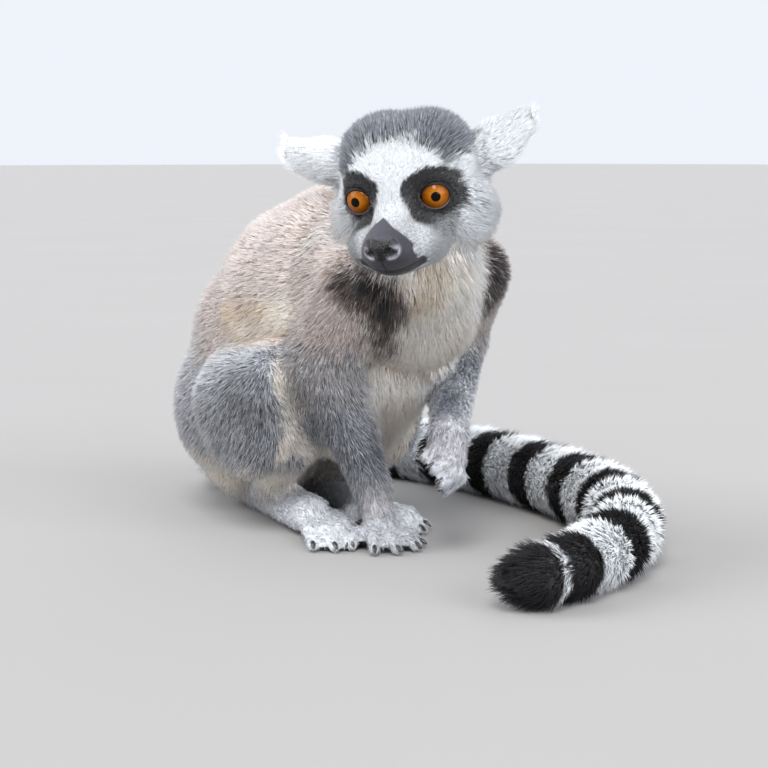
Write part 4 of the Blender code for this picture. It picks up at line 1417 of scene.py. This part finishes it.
def grow(name, cover, count, seed):
    """One piece of the coat: roots, sizes, spikes, locks and colours of its tufts."""
    rng = np.random.default_rng(seed)
    roots = sow(surface, cover, count, rng)
    p, n = roots["at"], roots["normal"]
    share, lie = near_parts(p)
    keep = bare_leather(p, n, share) < rng.uniform(0.2, 0.8, count)
    p, n, lie, uv = p[keep], n[keep], lie[keep], roots["uv"][keep]
    share = {k: v[keep] for k, v in share.items()}
    count = len(p)
    length, width, lean = tuft_sizes(p, n, share)
    length = length * rng.uniform(0.72, 1.22, count)
    lean = lean * rng.uniform(0.65, 1.35, count)
    along = way_of_fur(p, n, share, lie)
    side = np.cross(n, along)
    along = unit(along + side * rng.normal(0, 0.16, count)[:, None])
    tips = p + (along * np.cos(lean)[:, None] + n * np.sin(lean)[:, None]) * length[:, None]
    tips = locks(p, tips)
    tips[:, 2] = np.maximum(tips[:, 2], LOWEST_TIP)
    point = unit(tips - p)
    side = unit(np.cross(n, point))
    up = np.cross(point, side)
    base = p - n * ROOT_SINK
    corner = np.stack([base + side * width[:, None] * 0.5, base + up * width[:, None] * 0.4,
                       base - side * width[:, None] * 0.5, tips], axis=1)
    corner[:, :, 2] = np.maximum(corner[:, :, 2], LOWEST_ROOT)
    mix = markings(p, n, share)
    run = np.cumsum(mix, axis=1)
    pick = (rng.uniform(size=count)[:, None] * run[:, -1:] > run).sum(1).clip(0, len(ORDER) - 1)
    mix = mixed(mix, np.eye(len(ORDER))[pick], OWN_COLOUR)
    light = np.exp(rng.normal(0.0, 1.0, count).clip(-2.2, 1.6) * (mix @ SPREAD)) * (1 + 0.05 * wander(p, 12, 31))
    light = (light * short_fur_shade(p, share))[:, None]
    root_colour = (mix @ mixed(ROOTS, TIPS, 0.15)) * light
    tip_colour = ((mix @ TIPS) * light).clip(0, 0.98)
    colours = np.stack([root_colour, root_colour, root_colour, tip_colour], axis=1)
    obj = spike_mesh(name, corner, colours, uv[:, None, :] + PATCH)
    print(f"{name}: {count} tufts, {roots['area'] / count:.2f} square mm each")
    return obj

# %% [markdown]
# ## The pieces of the coat
# One mesh of all tufts would be too heavy to handle, so eleven pieces share the coat. A cover says at each
# vertex of the skin how thickly a piece grows there. Covers of neighbours fade into each other, so that no
# border shows. The face gets the most tufts for its size, since its hair is the finest.

# %% Share the coat among its pieces
head_q = head_coords(skin_at)
face_cover = skin_share["head"] * smooth(head_q[:, 0], -22, -14)
trunk_cover = share_of(skin_share, "trunk", "neck")
bib_cover = trunk_cover * smooth(-skin_normal[:, 1], 0.05, 0.4) * smooth(-skin_at[:, 1], -30, 0)
back_cover = trunk_cover - bib_cover
rear = smooth(skin_at[:, 1], 38, 52)
tail_half = smooth(along_tail(skin_at), TAIL_LENGTH * 0.5 - 8, TAIL_LENGTH * 0.5 + 8)
thin = 1.0
COAT = {                          # piece: where it grows, and how many tufts
    "fur_face": (face_cover * (1 + 0.8 * smooth(head_q[:, 0], -6, 6)), 49000),
    "fur_crown_and_cheeks": (skin_share["head"] - face_cover, 32000),
    "fur_ears": (share_of(skin_share, "ear"), 17000),
    "fur_paws": (share_of(skin_share, "hand", "foot"), 26000),
    "fur_bib": (bib_cover, 28000),
    "fur_back": (back_cover * (1 - rear), 47000),
    "fur_rump": (back_cover * rear, 36000),
    "fur_arms": (share_of(skin_share, "upper", "forearm"), 42000),
    "fur_legs": (share_of(skin_share, "thigh", "shank"), 47000),
    "fur_tail_base": (share_of(skin_share, "tail") * (1 - tail_half), 29000),
    "fur_tail_end": (share_of(skin_share, "tail") * tail_half, 29000),
}
FIRST_SEED = 100
coat = [grow(name, cover, int(count * thin), FIRST_SEED + i)
        for i, (name, (cover, count)) in enumerate(COAT.items())]
print("coat triangles:", sum(len(o.data.polygons) for o in coat), "in", round(time.time() - started, 1), "s")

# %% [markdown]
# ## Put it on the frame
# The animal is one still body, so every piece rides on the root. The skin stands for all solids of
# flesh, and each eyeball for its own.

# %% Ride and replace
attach(skin, "root")
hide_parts(*FLESH)
for side, eye in eyes.items():
    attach(eye, "root")
    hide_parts(f"eye_{side}")
for piece in [*coat, *eyelids.values(), nails]:
    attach(piece, "root")

# %% [markdown]
# ## Floor, light and camera
# A pale floor and three soft suns show the form without hard shadows, and light the floor evenly as far as
# it reaches. The camera looks down a little from the height of the animal's head, past its right shoulder.

# %% Floor
def pale_floor():
    """A wide matt sheet with a barely seen mottle, which isn't part of the model."""
    mesh = bpy.data.meshes.new("floor")
    half = 40.0
    mesh.from_pydata([(-half, -half, 0), (half, -half, 0), (half, half, 0), (-half, half, 0)], [], [(0, 1, 2, 3)])
    floor = new_object("floor", mesh)
    material, tree, shader = new_material("pale_floor", 0.85, specular=0.2)
    two_tones(tree, shader, noise(tree, 3.0, 2.0), (0.31, 0.303, 0.297), (0.33, 0.323, 0.317))
    mesh.materials.append(material)


pale_floor()


# %% Lamps and sky
def soft_sun(name, place, spread, strength, colour):
    """A sun seen from the animal towards a place, as wide as its spread in degrees."""
    data = bpy.data.lights.new(name, "SUN")
    data.angle, data.energy, data.color = math.radians(spread), strength, colour
    obj = new_object(name, data)
    obj.location = place
    obj.rotation_euler = Vector(place).to_track_quat("Z", "Y").to_euler()
    return obj


soft_sun("key", (-1.0, -0.9, 1.5), 24, 2.5, (1.0, 0.985, 0.96))
soft_sun("fill", (0.1, -1.4, 0.34), 55, 3.5, (0.93, 0.96, 1.0))
soft_sun("rim", (-1.1, 0.9, 0.9), 40, 2.2, (0.96, 0.98, 1.0))
print("lamps:", [lamp.name for lamp in bpy.data.lights])
world = bpy.data.worlds.new("studio")
bpy.context.scene.world = world
world.use_nodes = True
world.node_tree.nodes["Background"].inputs["Color"].default_value = (0.90, 0.93, 1.0, 1)
world.node_tree.nodes["Background"].inputs["Strength"].default_value = 0.96

# %% Camera
CAMERA_AT = Vector((-518.1, -635.8, 189.0))
camera_data = bpy.data.cameras.new("camera")
camera = new_object("camera", camera_data)
camera_data.lens, camera_data.sensor_width = 77.3, 36.0
camera_data.clip_start = 0.01
camera.location = (CAMERA_AT + SHIFT) * MM
camera.rotation_euler = (math.radians(82.2), 0.0, math.radians(-40.0))
bpy.context.scene.camera = camera
bpy.context.scene.view_settings.view_transform = "Standard"
print("camera, mm above the floor:", round(camera.location.z / MM))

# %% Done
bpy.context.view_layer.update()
print("made in", round(time.time() - started, 1), "s")
